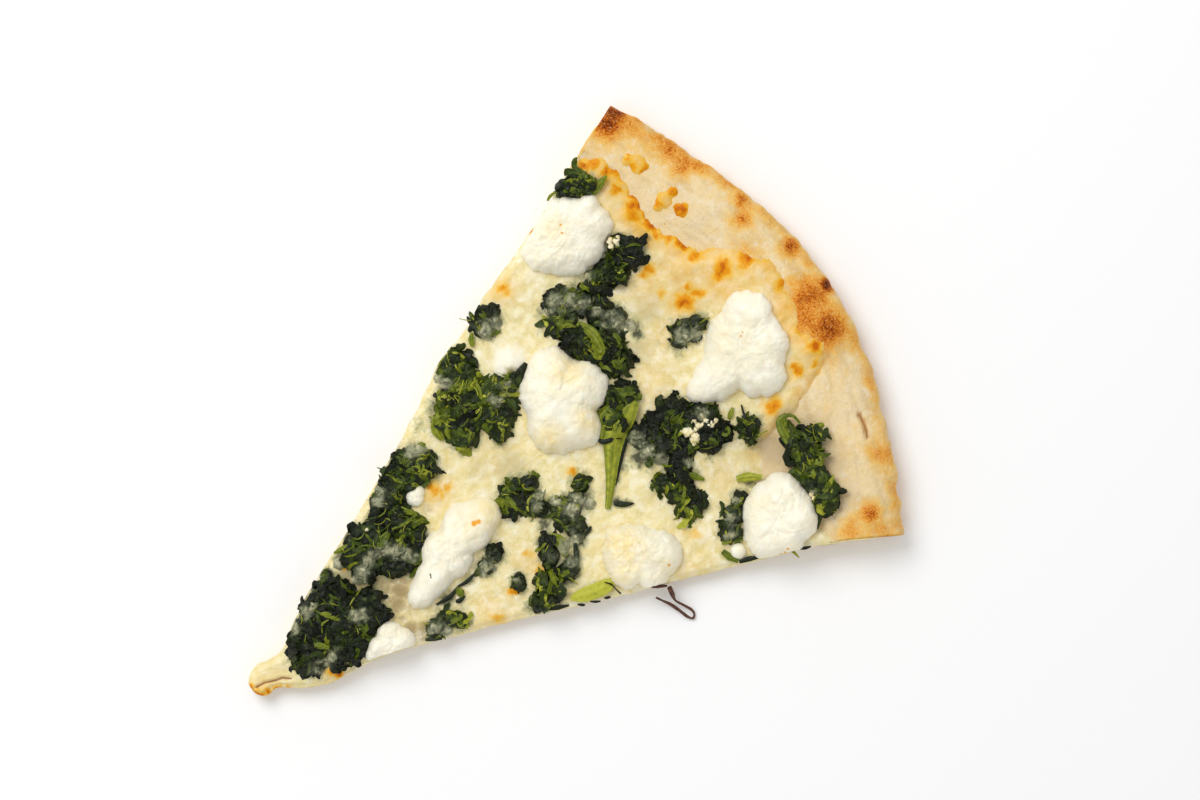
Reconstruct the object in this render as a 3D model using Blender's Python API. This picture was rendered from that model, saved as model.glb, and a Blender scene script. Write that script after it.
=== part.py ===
"""A slice of white pizza with spinach and ricotta, as solids, in Blender 4.5.

Run it with: blender --background --python part.py
It works in metres with +Z up. The slice lies on z = 0 with its tip towards -X and its rim towards +X,
and the origin is the bottom centre of its box. Tables of places are in millimetres from the tip.
"""

import math

import bmesh
import bpy
import numpy as np
from mathutils import Vector, noise

MM = 0.001
SEED = 7

# The slice, in millimetres: an eighth of a pizza of about 410 mm
TIP_TO_ORIGIN = 104.0
NOSE_X = -2.5
HALF_ANGLE = 22.4
# The outer edge: angle in degrees from the middle line, distance from the tip
RIM_EDGE = (
    (-22.4, 199.8), (-19.4, 201.6), (-13.6, 204.9), (-8.3, 208.1), (-3, 210.0), (2, 210.5), (9.7, 208.1), (14, 206.4),
    (18.7, 205.2), (22.4, 204.1),
)
UPPER_CUT = (
    (-2.5, 1.2), (-1.2, 2.5), (12, 3.6), (20, 8.5), (50, 21.2),
    (92, 40.5), (101, 45.5), (113, 48.8), (124, 53.6), (138, 58.0), (160, 66.4), (188.5, 78),
)
LOWER_CUT = (
    (-2.5, -1.4), (-1.5, -3.0), (4, -4.0), (10, -8.5), (18, -12.3), (29, -13.7),
    (60, -24.4), (100, -41), (140, -57), (170, -70), (183, -78),
)

# Heights of the dough, in millimetres
BASE_THICKNESS = 4.4
RIM_HEIGHT = 13.0
RIM_WIDTH = 47.0
CREST_INSET = 11.0
EDGE_DROP = 3.6
SIDE_BULGE = 4.0
# Bubbles and hollows of the rim: x, y, radius, height
RIM_BUBBLES = (
    (201, -11, 14, 1.9), (208, 14, 12, 0.8), (188, 74, 13, 1.2), (203, 35, 13, 0.8),
    (181, -69, 13, 1.3), (196, -52, 13, 0.8), (191, -35, 12, -0.9), (187, 29, 14, -0.6),
)
# How steeply a bubble falls off round its middle
BUBBLE_FALL = 1.6

# The cheese, in millimetres. CHEESE_REACH says how far from the tip it ends, in even steps from the lower cut to
# the upper
CHEESE_THICKNESS = 1.8
CHEESE_EDGE_THICKNESS = 0.7
CHEESE_TAPER = 14.0
CHEESE_REACH = (
    165, 164, 161, 159, 159, 162, 166, 180, 192, 197, 195, 197, 199, 198, 194, 184, 181, 187, 187, 184, 186, 177, 171,
)
LAYER_GAP = 0.5
TOPPING_GAP = 0.75
EDGE_STEP = 4.0

# Grids: columns run along the slice, rows across it
COLUMNS = 28
CLOSER_AT_ENDS = 0.06
ROWS = len(CHEESE_REACH) - 1
SIDE_RINGS = 3

# Ricotta: centre of the dollop, its height, then its lobes as x, y, radius
RICOTTA = (
    ((154, 54), 6.5, ((154, 54, 12), (162, 52, 6.5), (147, 55, 7.5), (165.5, 57.5, 3.2), (157, 47.5, 5.5))),
    ((177, -4), 6.2, ((178, -4, 12), (184, 3, 7.5), (184, -8, 6), (177, -13, 8), (165, -7, 7), (159, -7, 4))),
    ((123, 16), 6.8, ((124, 18, 11), (127, 24.5, 7), (131, 15, 8.5), (118, 10, 8.5), (124, 5, 6.5), (114, 8, 4.5))),
    ((70, -1.5), 5.6, ((79, 1, 8), (85.5, 1, 5), (69, -2, 8), (61, -5.5, 5.5), (55, -7.5, 4.3))),
    ((115, -36.5), 5.6, (
        (114, -34.5, 9), (120, -39, 7.5), (109, -38, 5), (113, -29, 4.5), (115, -44, 4.5), (123, -42, 4))),
    ((155, -52), 7.0, ((156.5, -51, 11), (150, -54.5, 7.2), (160, -56, 6), (161, -46, 6), (154, -60, 4))),
    ((39, -12.8), 3.6, ((41, -12, 4.4), (36, -12.5, 3.4), (43, -15, 4), (32.5, -13, 1.8), (38, -14.5, 3.4))),
    ((71.6, 17.4), 1.8, ((71.2, 17.3, 2.7), (73.5, 18, 1.6))),
    ((140.2, -52.8), 2.6, ((140.2, -52.8, 2.4),)),
)
# Spinach: centre of the heap, its height, how many leaf pieces show, then its lobes as x, y, radius
SPINACH = (
    ((28, 1), 3.4, 12, (
        (18, -0.5, 5.8), (21, 4.5, 4.5), (28, 3, 8.5), (29, 9, 4.5), (36, -1, 7), (35, 9.5, 5), (30, -6.5, 5.5),
        (24, -8.5, 3.2), (41, -3.5, 4), (43.5, 1, 3), (16.5, -4, 4))),
    ((58, 12), 3.2, 9, (
        (60, 14, 8), (51, 15, 5.5), (46, 14, 4.5), (47, 9, 4), (62, 20, 5), (66, 23, 3), (58, 5, 5.5), (64, 9, 5),
        (53, 5, 3.5))),
    ((75, 26), 2.6, 5, (
        (70, 26, 5.5), (72, 21.5, 2.5), (77, 24.5, 5.5), (80, 21.5, 3), (74, 29.5, 3.5), (81, 24, 2.5))),
    ((101, 29), 3.2, 12, (
        (103, 43, 5), (103.5, 38, 5), (100, 30, 8), (92, 30, 4), (94, 24, 5), (106, 25, 7), (110, 28.5, 4.5),
        (104, 19, 3.6), (102, 16.5, 1.6), (98, 33, 5), (116.5, 28.5, 2.6))),
    ((119.5, 48.5), 2.2, 2, ((119.5, 49.5, 3.8), (118, 46, 3.2), (122, 48, 2.8))),
    ((165.5, 65), 2.8, 4, ((165, 65, 4.8), (161.5, 65.5, 2.4), (168.5, 62, 2.8))),
    ((143, 22), 3.0, 8, (
        (138, 27, 4.6), (139.5, 22, 4.2), (144, 20, 5.5), (144, 14, 3.6), (147, 13.5, 2.4), (149, 26, 4),
        (147.5, 30, 3.4), (152.5, 25.5, 3))),
    ((143, 35.5), 2.6, 6, ((138, 33.5, 4.6), (141, 38.5, 4.2), (146, 35.5, 3.6), (150.5, 31.5, 3.2))),
    ((160, 38.5), 3.0, 6, (
        (154, 38, 4), (158, 38, 4.2), (160, 35, 3), (166, 38.5, 4.8), (164.5, 43, 2.8), (151.5, 37.5, 2.8))),
    ((167, 9.5), 2.2, 3, ((166, 10, 3.8), (171, 10, 2.6), (162.5, 8.5, 2.2))),
    ((138, 5), 2.4, 3, ((138, 6, 4.5), (133, 1, 4.2), (141, 5, 3.5))),
    ((147, -13), 3.2, 10, (
        (143, -9, 5.5), (149.5, -8, 5), (146, -15, 6), (154.5, -14.5, 5.2), (153, -20.5, 4.6), (157.5, -21, 3),
        (138, -12, 4.5), (142, -21, 3.6), (136, -7, 3.2))),
    ((138, -28), 2.8, 5, ((139, -23, 4), (134, -23, 3), (137.5, -28, 4), (136.5, -33.5, 4.2))),
    ((164.5, -25), 2.2, 2, ((164, -24.5, 3), (163, -27.5, 2), (167, -24.5, 1.8))),
    ((173, -45), 3.2, 6, ((174, -38, 5), (179.5, -37.5, 3), (173, -44, 4.2), (171, -49, 4), (170.5, -54.5, 4.6))),
    ((146, -43), 2.0, 3, ((142, -46.5, 3.2), (145.5, -43, 3.2), (150.5, -40, 2.4))),
    ((98, -2), 2.4, 4, ((94, -1, 4.4), (97.5, 3, 2.6), (101.5, 0.5, 3), (99, -6, 3.5))),
    ((105.5, -14), 2.0, 3, ((105, -12, 4), (105, -18.5, 3.4), (109, -12, 3), (114, -8, 2.8))),
    ((91, -25), 2.4, 5, (
        (95.5, -16.5, 2.8), (93.5, -21, 3), (89, -27.5, 4), (83.5, -30.5, 3.4), (96, -27.5, 3.2), (88, -31, 3))),
    ((57, -18.5), 1.8, 2, ((53, -18, 3), (57.5, -18, 3), (60.5, -20.5, 2.6))),
    ((78.5, -11), 1.8, 2, ((80.5, -10.5, 2.8), (76, -12, 2.6))),
    ((81.6, -21.5), 1.4, 0, ((81, -22.5, 2), (82.3, -20.5, 1.8))),
)
# Long pieces fused to the heaps, by heap: half width, then the way they run as x, y, height over the cheese
STEMS = (
    (10, 1.7, ((141, 3, 2.2), (133, -3, 1.9), (126, -9, 1.5), (120, -15, 1.3), (116, -18.5, 1.2))),
    (14, 1.5, ((173, -38, 2.4), (172.6, -33, 2.0), (174, -28.8, 1.4), (177, -28.2, 0.7))),
)
STEM_THICKNESS = 0.9
STEM_TIP_WIDTH = 0.6
# A pale leaf on the lower cut: half width, and its way as above
PALE_LEAF = (2.3, ((91.5, -34.9, 0.3), (95.5, -36.1, 0.8), (100, -37.2, 0.8), (103.0, -37.8, 0.3)))
PALE_LEAF_THICKNESS = 0.8
PALE_LEAF_TIP_WIDTH = 0.3
# A dried strand that hangs out of the lower cut and lies in a loop beside the slice: x, y, z, radius
STRAND = (
    (117.1, -49.5, 5.0, 0.7), (116.6, -51.6, 4.0, 0.75), (116.2, -53.9, 2.6, 0.35), (117.3, -56.4, 1.4, 0.4),
    (118.4, -58.9, 0.8, 0.4), (118.4, -60.5, 0.6, 0.35), (117.3, -61.4, 0.6, 0.35), (116.3, -60.2, 0.7, 0.4),
    (115.4, -57.2, 1.1, 0.5), (114.3, -54.0, 1.8, 0.5), (113.1, -51.8, 2.6, 0.35), (112.0, -49.7, 3.4, 0.3),
)

LEAF_THICKNESS = 0.5
LEAF_LENGTH = (4.5, 8.0)
LEAF_HALF_WIDTH = (0.9, 1.8)
LEAF_OVERHANG = 1.2
LEAF_WAVE = 0.3
# Where a leaf's three points lie along its length, from the place it grows out of
LEAF_STEPS = (-0.3, 0.3, 1.0)
LEAF_SUNK = -0.5
LEAF_TIP_WIDTH = 0.25

# Heaps. A core is lower and narrower than its heap, so that the leaves stand out of it
CORE_HEIGHT_SHARE = 0.75
CORE_WIDTH_SHARE = 0.93
# Gaps in plan: between neighbours, and from the slice's cuts
FOOTPRINT_GAP = 1.2
CUT_GAP = 0.4
OUTLINE_STEPS = 11
RIM_WALL = 0.6
# Shares of a heap's reach at which its rings lie, then height and size of its relief
RICOTTA_RINGS = (0.4, 0.75, 1.0)
RICOTTA_RELIEF = (1.6, 5.0)
SPINACH_RINGS = (0.55, 1.0)
SPINACH_RELIEF = (1.2, 3.0)

COLOURS = {
    "crust": (0.76, 0.53, 0.27, 1.0),
    "cheese": (0.84, 0.70, 0.38, 1.0),
    "ricotta": (0.93, 0.87, 0.72, 1.0),
    "spinach": (0.03, 0.06, 0.012, 1.0),
    "leaf": (0.35, 0.40, 0.04, 1.0),
    "strand": (0.09, 0.03, 0.015, 1.0),
}
ROUGHNESS = {"crust": 0.75, "cheese": 0.4, "ricotta": 0.6, "spinach": 0.35, "leaf": 0.4, "strand": 0.6}


def smoothstep(low, high, value):
    share = np.clip((value - low) / (high - low), 0.0, 1.0)
    return share * share * (3 - 2 * share)


def through(points):
    """A smooth function through (x, y) points, which runs on straight past its ends."""
    xs, ys = np.array(points, float).T
    slopes = np.gradient(ys, xs)

    def value(x):
        inside = np.clip(x, xs[0], xs[-1])
        i = np.clip(np.searchsorted(xs, inside) - 1, 0, len(xs) - 2)
        step = xs[i + 1] - xs[i]
        t = (inside - xs[i]) / step
        start = (1 + 2 * t) * (1 - t) ** 2 * ys[i] + t * (1 - t) ** 2 * step * slopes[i]
        end = t * t * (3 - 2 * t) * ys[i + 1] - t * t * (1 - t) * step * slopes[i + 1]
        past = np.where(x > xs[-1], slopes[-1], slopes[0]) * (x - inside)
        return start + end + past

    return value


upper_cut = through(UPPER_CUT)
lower_cut = through(LOWER_CUT)
rim_edge = through(RIM_EDGE)


def rim_radius(angle):
    """Distance from the tip to the outer edge, for an angle in degrees from the slice's middle line."""
    return rim_edge(np.clip(angle, -HALF_ANGLE, HALF_ANGLE))


def across(x, share):
    """y at a share of the slice's width, from the lower cut at 0 to the upper at 1."""
    return lower_cut(x) * (1 - share) + upper_cut(x) * share


def rim_x(share):
    """x of the outer edge at a share of the slice's width."""
    x = np.full_like(share, RIM_EDGE[0][1])
    for _ in range(12):
        angle = np.arctan2(across(x, share), x)
        x = rim_radius(np.degrees(angle)) * np.cos(angle)
    return x


def from_edge(x, y):
    """Distance in from the outer edge, towards the tip."""
    return rim_radius(np.degrees(np.arctan2(y, x))) - np.hypot(x, y)


def dough_top(x, y):
    """Height of the dough's upper face: a flat base, a rim that rises to a crest, and its bubbles."""
    inset = from_edge(x, y)
    rise = smoothstep(RIM_WIDTH, CREST_INSET, inset)
    drop = smoothstep(CREST_INSET, 0.0, inset)
    height = BASE_THICKNESS + (RIM_HEIGHT - BASE_THICKNESS) * rise - EDGE_DROP * drop
    for bubble_x, bubble_y, radius, swell in RIM_BUBBLES:
        away = ((x - bubble_x) ** 2 + (y - bubble_y) ** 2) / radius**2
        height = height + swell * np.exp(-away * BUBBLE_FALL)
    return height


def dough_bottom(x, y):
    """Height of the underside, which is flat."""
    return np.zeros_like(x)


def cheese_reach(share):
    """How far from the tip the cheese ends, at a share of the slice's width."""
    return np.interp(share, np.linspace(0, 1, ROWS + 1), CHEESE_REACH)


def cheese_inset(x, y):
    """Distance from the cheese's edge near the rim, which is negative on the bare dough."""
    share = (y - lower_cut(x)) / (upper_cut(x) - lower_cut(x))
    return cheese_reach(share) - x


def cheese_depth(x, y):
    """Thickness of the cheese, which thins out towards the tip and towards the rim."""
    swell = smoothstep(0, CHEESE_TAPER, cheese_inset(x, y)) * smoothstep(NOSE_X, CHEESE_TAPER, x)
    return CHEESE_EDGE_THICKNESS + (CHEESE_THICKNESS - CHEESE_EDGE_THICKNESS) * swell


def cheese_bottom(x, y):
    return dough_top(x, y) + LAYER_GAP


def cheese_top(x, y):
    return cheese_bottom(x, y) + cheese_depth(x, y)


def seat(x, y):
    """Height at which a topping's underside lies: over the cheese, and lower where the dough is bare."""
    covered = smoothstep(-2 * EDGE_STEP, -EDGE_STEP, cheese_inset(x, y))
    return dough_top(x, y) + (LAYER_GAP + CHEESE_THICKNESS) * covered + TOPPING_GAP


def in_metres(x, y, z):
    """A point of the millimetre tables, in the slice's own frame."""
    return Vector(((x - TIP_TO_ORIGIN) * MM, y * MM, z * MM))


def material(name):
    made = bpy.data.materials.get(name)
    if made is None:
        made = bpy.data.materials.new(name)
        made.use_nodes = True
        shader = made.node_tree.nodes["Principled BSDF"]
        shader.inputs["Base Color"].default_value = COLOURS[name]
        shader.inputs["Roughness"].default_value = ROUGHNESS[name]
        shader.inputs["Metallic"].default_value = 0.0
    return made


def object_from(name, bm, finish, smooth_angle=40):
    """Closes a bmesh into a named object with one material."""
    bmesh.ops.recalc_face_normals(bm, faces=bm.faces)
    mesh = bpy.data.meshes.new(name)
    bm.to_mesh(mesh)
    bm.free()
    mesh.materials.append(material(finish))
    mesh.shade_smooth()
    mesh.set_sharp_from_angle(angle=math.radians(smooth_angle))
    made = bpy.data.objects.new(name, mesh)
    bpy.context.scene.collection.objects.link(made)
    return made


def faces_of_grid(bm, grid):
    """Quads, split into triangles alike, over rows of vertices."""
    for row, following in zip(grid, grid[1:]):
        for a, b, c, d in zip(row, row[1:], following[1:], following):
            bm.faces.new((a, b, c))
            bm.faces.new((a, c, d))


def ring_of(grid):
    """The vertices round a grid, in order."""
    last_column = [row[-1] for row in grid[1:-1]]
    first_column = [row[0] for row in grid[1:-1]]
    return grid[0] + last_column + grid[-1][::-1] + first_column[::-1]


def layer(name, finish, reach, top, bottom, bulge=0.0, rings=1):
    """A closed layer of the slice between two heights, built as sheets from its underside up.

    reach gives where it ends towards the rim at each share of the width, and bulge rounds that end outwards.
    """
    shares = np.linspace(0, 1, ROWS + 1)
    steps = np.linspace(0, 1, COLUMNS + 1)
    along = steps - CLOSER_AT_ENDS * np.sin(2 * np.pi * steps)
    ends = reach(shares) - bulge
    x = NOSE_X + along[:, None] * (ends - NOSE_X)
    y = across(x, shares)
    low, high = bottom(x, y), top(x, y)
    bm = bmesh.new()
    grids = []
    for ring in range(rings + 1):
        level = ring / rings
        out = x.copy()
        out[-1] += bulge * 2 * math.sqrt(level * (1 - level))
        z = low + (high - low) * level
        grids.append([[in_metres(*point) for point in zip(*line)] for line in zip(out, across(out, shares), z)])
    rims = []
    for grid in grids:
        if grid in (grids[0], grids[-1]):
            rows = [[bm.verts.new(point) for point in row] for row in grid]
            faces_of_grid(bm, rows)
            rims.append(ring_of(rows))
        else:
            rims.append([bm.verts.new(point) for point in ring_of(grid)])
    faces_of_grid(bm, [rim + rim[:1] for rim in rims])
    return object_from(name, bm, finish)


def inside_lobes(x, y, lobes, margin=0.0):
    return any(math.hypot(x - cx, y - cy) < radius + margin for cx, cy, radius in lobes)


def on_slice(x, y):
    """Whether a point lies on the slice, a little in from its cuts and its rim."""
    return lower_cut(x) + CUT_GAP < y < upper_cut(x) - CUT_GAP and from_edge(x, y) > SIDE_BULGE


def reaches(centre, lobes, taken):
    """For each direction from a heap's centre: how far its lobes go, and how far before a cut or a neighbour."""
    step = 0.25
    found = []
    turns = OUTLINE_STEPS + 2 * len(lobes)
    for turn in range(turns):
        angle = 2 * math.pi * turn / turns
        way = (math.cos(angle), math.sin(angle))
        full, free = 0.0, None
        while True:
            x, y = centre[0] + way[0] * (full + step), centre[1] + way[1] * (full + step)
            blocked = not on_slice(x, y) or any(inside_lobes(x, y, other, FOOTPRINT_GAP) for other in taken)
            if free is None and blocked:
                free = full
            if not inside_lobes(x, y, lobes):
                break
            full += step
        found.append((way, full, full if free is None else free))
    return found


def smoothed(values):
    """Each value averaged with its two neighbours round a ring, and hardly more than it was."""
    means = [(values[i - 1] + 2 * v + values[(i + 1) % len(values)]) / 4 for i, v in enumerate(values)]
    return [min(mean, value + 0.3) for mean, value in zip(means, values)]


def swell(x, y, lobes):
    """Share of a heap's height at a point: the lobes run into one another, and it is 0 outside them."""
    left = 1.0
    for lobe_x, lobe_y, radius in lobes:
        left *= min(((x - lobe_x) ** 2 + (y - lobe_y) ** 2) / radius**2, 1.0)
    return math.sqrt(1 - left)


def heap_top(x, y, lobes, height):
    return float(seat(x, y)) + RIM_WALL + height * swell(x, y, lobes)


def heap(name, finish, centre, lobes, height, taken, rings, relief, share=1.0):
    """A closed mound on the cheese. Its outline follows its lobes, and stops at the cuts and its neighbours."""
    rays = reaches(centre, lobes, taken)
    full = smoothed([ray[1] for ray in rays])
    free = [min(s * share, ray[2]) for s, ray in zip(full, rays)]
    relief_height, relief_size = relief
    bm = bmesh.new()

    def vertex(reach, way, upper):
        x, y = centre[0] + way[0] * reach, centre[1] + way[1] * reach
        z = float(seat(x, y))
        if upper:
            ripple = noise.noise(Vector((x, y, height)) / relief_size) * relief_height * swell(x, y, lobes)
            z = heap_top(x, y, lobes, height) + ripple
        return bm.verts.new(in_metres(x, y, z))

    rims = []
    for upper in (True, False):
        hub = vertex(0.0, (1, 0), upper)
        loops = [[vertex(reach * level, ray[0], upper) for ray, reach in zip(rays, free)] for level in rings]
        faces_of_grid(bm, [loop + loop[:1] for loop in loops])
        for a, b in zip(loops[0], loops[0][1:] + loops[0][:1]):
            bm.faces.new((hub, a, b))
        rims.append(loops[-1])
    faces_of_grid(bm, [rim + rim[:1] for rim in rims])
    return object_from(name, bm, finish, smooth_angle=60)


def strip(name, finish, way, half_width, thickness, tip_width, wave=0.0):
    """A thin wavy solid along a way of (x, y, z) points, widest in its middle, with both faces split alike."""
    points = np.array(way, float)
    count = len(points)
    forward = np.gradient(points[:, :2], axis=0)
    forward /= np.linalg.norm(forward, axis=1)[:, None]
    side = np.stack([-forward[:, 1], forward[:, 0]], axis=1)
    bm = bmesh.new()
    sheets = []
    for offset in (thickness, 0.0):
        rows = []
        for i, (x, y, z) in enumerate(points):
            swell = max(math.sin(math.pi * i / (count - 1)), tip_width)
            reach = half_width * swell
            tilt = wave * math.sin(2.1 * i + half_width)
            ends = ((-1, z - tilt), (1, z + tilt))
            rows.append([
                bm.verts.new(in_metres(x + side[i, 0] * reach * hand, y + side[i, 1] * reach * hand, height + offset))
                for hand, height in ends
            ])
        faces_of_grid(bm, rows)
        sheets.append(ring_of(rows))
    faces_of_grid(bm, [ring + ring[:1] for ring in sheets])
    return object_from(name, bm, finish)


def raised(way):
    """A way of (x, y, lift) points with each lift made a height over the cheese."""
    return [(x, y, float(seat(x, y)) + lift) for x, y, lift in way]


def leaf_ways(index, lobes, height, count, taken):
    """The ways of the leaf pieces that show on a heap: spread over it evenly, each with one end sunk in its core."""
    draw = np.random.default_rng(SEED + index)
    ways = []
    for number in range(count * 8):
        if len(ways) == count:
            break
        angle = number * math.pi * (3 - math.sqrt(5))
        lobe_x, lobe_y, radius = lobes[number % len(lobes)]
        start = (lobe_x + radius * 0.5 * math.cos(angle), lobe_y + radius * 0.5 * math.sin(angle))
        heading = angle + draw.uniform(-1.2, 1.2)
        length = draw.uniform(*LEAF_LENGTH)
        half_width = draw.uniform(*LEAF_HALF_WIDTH)
        way = []
        for step, lift in zip(LEAF_STEPS, (LEAF_SUNK, draw.uniform(0.3, 1.0), draw.uniform(-0.2, 0.7))):
            x = start[0] + math.cos(heading) * length * step
            y = start[1] + math.sin(heading) * length * step
            way.append((x, y, heap_top(x, y, lobes, height) + lift))
        clear = all(
            on_slice(x, y)
            and inside_lobes(x, y, lobes, LEAF_OVERHANG)
            and not any(inside_lobes(x, y, other, LEAF_OVERHANG + half_width + FOOTPRINT_GAP) for other in taken)
            for x, y, _ in way
        )
        if clear:
            ways.append((half_width, way))
    return ways


def fuse(core, pieces):
    """Joins the pieces to the core with one Boolean union, and keeps its one outer skin."""
    helpers = bpy.data.collections.new(core.name + "_pieces")
    bpy.context.scene.collection.children.link(helpers)
    for piece in pieces:
        bpy.context.scene.collection.objects.unlink(piece)
        helpers.objects.link(piece)
    union = core.modifiers.new("Join", "BOOLEAN")
    union.operation = "UNION"
    union.solver = "EXACT"
    union.operand_type = "COLLECTION"
    union.collection = helpers
    joined = bpy.data.meshes.new_from_object(core.evaluated_get(bpy.context.evaluated_depsgraph_get()))
    core.modifiers.clear()
    core.data = joined
    for piece in pieces:
        bpy.data.objects.remove(piece)
    bpy.data.collections.remove(helpers)
    keep_largest_shell(joined)


def keep_largest_shell(mesh):
    """Drops loose scraps and the skins of sealed hollows, which fills them."""
    bm = bmesh.new()
    bm.from_mesh(mesh)
    bmesh.ops.triangulate(bm, faces=bm.faces)
    unseen = set(bm.verts)
    shells = []
    while unseen:
        shell, edge = set(), [unseen.pop()]
        while edge:
            vertex = edge.pop()
            shell.add(vertex)
            near = {e.other_vert(vertex) for e in vertex.link_edges} & unseen
            unseen -= near
            edge.extend(near)
        shells.append(shell)
    shells.sort(key=len)
    for scrap in shells[:-1]:
        bmesh.ops.delete(bm, geom=list(scrap), context="VERTS")
    bm.to_mesh(mesh)
    bm.free()


def build_dough():
    layer("crust", "crust", rim_x, dough_top, dough_bottom, bulge=SIDE_BULGE, rings=SIDE_RINGS)


def build_cheese():
    layer("cheese", "cheese", cheese_reach, cheese_top, cheese_bottom)


def build_ricotta():
    for number, (centre, height, lobes) in enumerate(RICOTTA, 1):
        others = [other[2] for other in RICOTTA[: number - 1]]
        heap(f"ricotta_{number}", "ricotta", centre, lobes, height, others, RICOTTA_RINGS, RICOTTA_RELIEF)


def build_spinach():
    dollops = [lobes for _, _, lobes in RICOTTA]
    for index, (centre, height, count, lobes) in enumerate(SPINACH):
        earlier = [other[3] for other in SPINACH[:index]]
        later = [other[3] for other in SPINACH[index + 1 :]]
        name = f"spinach_{index + 1:02d}"
        core_height = height * CORE_HEIGHT_SHARE
        core = heap(
            name, "spinach", centre, lobes, core_height, dollops + earlier,
            SPINACH_RINGS, SPINACH_RELIEF, CORE_WIDTH_SHARE,
        )
        ways = leaf_ways(index, lobes, core_height, count, dollops + earlier + later)
        pieces = [
            strip(f"{name}_leaf_{n}", "spinach", way, half_width, LEAF_THICKNESS, LEAF_TIP_WIDTH, LEAF_WAVE)
            for n, (half_width, way) in enumerate(ways)
        ]
        for heap_index, half_width, way in STEMS:
            if heap_index == index:
                stem = strip(f"{name}_stem", "spinach", raised(way), half_width, STEM_THICKNESS, STEM_TIP_WIDTH)
                pieces.append(stem)
        fuse(core, pieces)


def build_pale_leaf():
    half_width, way = PALE_LEAF
    strip("pale_leaf", "leaf", raised(way), half_width, PALE_LEAF_THICKNESS, PALE_LEAF_TIP_WIDTH)


def build_strand():
    """A thin dried stem: a tube along its way, with its ends closed."""
    curve = bpy.data.curves.new("dried_strand", "CURVE")
    curve.dimensions = "3D"
    curve.bevel_depth = MM
    curve.bevel_resolution = 1
    curve.use_fill_caps = True
    spline = curve.splines.new("POLY")
    spline.points.add(len(STRAND) - 1)
    for point, (x, y, z, radius) in zip(spline.points, STRAND):
        point.co = (*in_metres(x, y, z), 1.0)
        point.radius = radius
    curve.materials.append(material("strand"))
    strand = bpy.data.objects.new("dried_strand", curve)
    bpy.context.scene.collection.objects.link(strand)


def main():
    for old in list(bpy.data.objects):
        bpy.data.objects.remove(old)
    build_dough()
    build_cheese()
    build_ricotta()
    build_spinach()
    build_pale_leaf()
    build_strand()


main()
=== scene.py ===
"""Looks of the white pizza slice with spinach and ricotta, for Blender 4.5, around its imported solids.

Places on the slice are in millimetres from the tip: x runs to the rim, y to the upper cut of the photograph.
Objects are in metres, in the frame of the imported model. Colours are written as 8-bit values.
"""

import math

import bpy
import numpy as np
from mathutils import Matrix, Vector, noise


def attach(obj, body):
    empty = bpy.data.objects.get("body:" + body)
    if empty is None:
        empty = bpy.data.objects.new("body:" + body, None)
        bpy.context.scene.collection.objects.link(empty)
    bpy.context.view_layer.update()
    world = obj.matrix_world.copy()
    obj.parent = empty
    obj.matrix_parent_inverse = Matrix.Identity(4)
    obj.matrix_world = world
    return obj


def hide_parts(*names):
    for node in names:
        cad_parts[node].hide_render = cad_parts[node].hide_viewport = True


MM = 0.001
SEED = 11
TIP_TO_ORIGIN = 104.0
NOSE_X = -2.5
HALF_ANGLE = 22.4

# The photograph: what its middle shows, how far the slice's middle line is turned, and how wide it is
VIEW_MIDDLE = (133.4, 8.3)
VIEW_TURN = 36.1
VIEW_WIDTH = 360.0
CAMERA_DISTANCE = 1300.0
SENSOR = 36.0
SLICE_MIDDLE_HEIGHT = 8.0
# In metres: how far the camera sees, the floor and its distance below the slice, and the lamp, whose place is
# to the right, up and towards the viewer of the photograph; its power is in watts
CAMERA_REACH = 20
FLOOR_SIZE = 6
FLOOR_DROP = 0.0002
LAMP_SIZE = 0.9
LAMP_PLACE = (-0.55, 0.65, 1.1)
LAMP_POWER = 10.2
SKY_STRENGTH = 0.66

# The outer edge: angle in degrees from the middle line, distance from the tip
RIM_EDGE = (
    (-22.4, 199.8), (-19.4, 201.6), (-13.6, 204.9), (-8.3, 208.1), (-3, 210.0), (2, 210.5), (9.7, 208.1),
    (14, 206.4), (18.7, 205.2), (22.4, 204.1),
)
# The two cuts from the tip to the rim: x, y
UPPER_CUT = (
    (-2.5, 1.2), (-1.2, 2.5), (12, 3.6), (20, 8.5), (50, 21.2),
    (92, 40.5), (101, 45.5), (113, 48.8), (124, 53.6), (138, 58.0), (160, 66.4), (188.5, 78),
)
LOWER_CUT = (
    (-2.5, -1.4), (-1.5, -3.0), (4, -4.0), (10, -8.5), (18, -12.3), (29, -13.7),
    (60, -24.4), (100, -41), (140, -57), (170, -70), (183, -78),
)

# Heights of the dough, as in the solids
BASE_THICKNESS = 4.4
RIM_HEIGHT = 13.0
RIM_WIDTH = 47.0
CREST_INSET = 11.0
EDGE_DROP = 3.6
SIDE_BULGE = 3.7
EDGE_WEAR = 1.0
# Bubbles and hollows of the rim, and smaller dimples that only show close up: x, y, radius, height
RIM_BUBBLES = (
    (201, -11, 14, 1.9), (208, 14, 12, 0.8), (188, 74, 13, 1.2), (203, 35, 13, 0.8),
    (181, -69, 13, 1.3), (196, -52, 13, 0.8), (191, -35, 12, -0.9), (187, 29, 14, -0.6),
)
RIM_DIMPLES = (
    (201, -13, 7, 0.7), (204, -3, 4, 0.5), (207, 10, 4, -0.4), (203, 24, 4, 0.5), (199, 43, 6, 0.5),
    (196, 60, 6, -0.4), (187, 72, 5, 0.6), (177, -66, 4, 0.6), (192, -57, 6, 0.5), (199, -36, 6, 0.5),
    (192, -22, 4, -0.6), (176, -30, 5, -0.4), (186, 31, 4, -0.5), (204, 35, 3, 0.4),
)
RIM_SLIT = ((193.4, -40.5), (193.2, -43.5), (191.6, -47.5))
SLIT_HALF_WIDTH = 0.9
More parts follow.
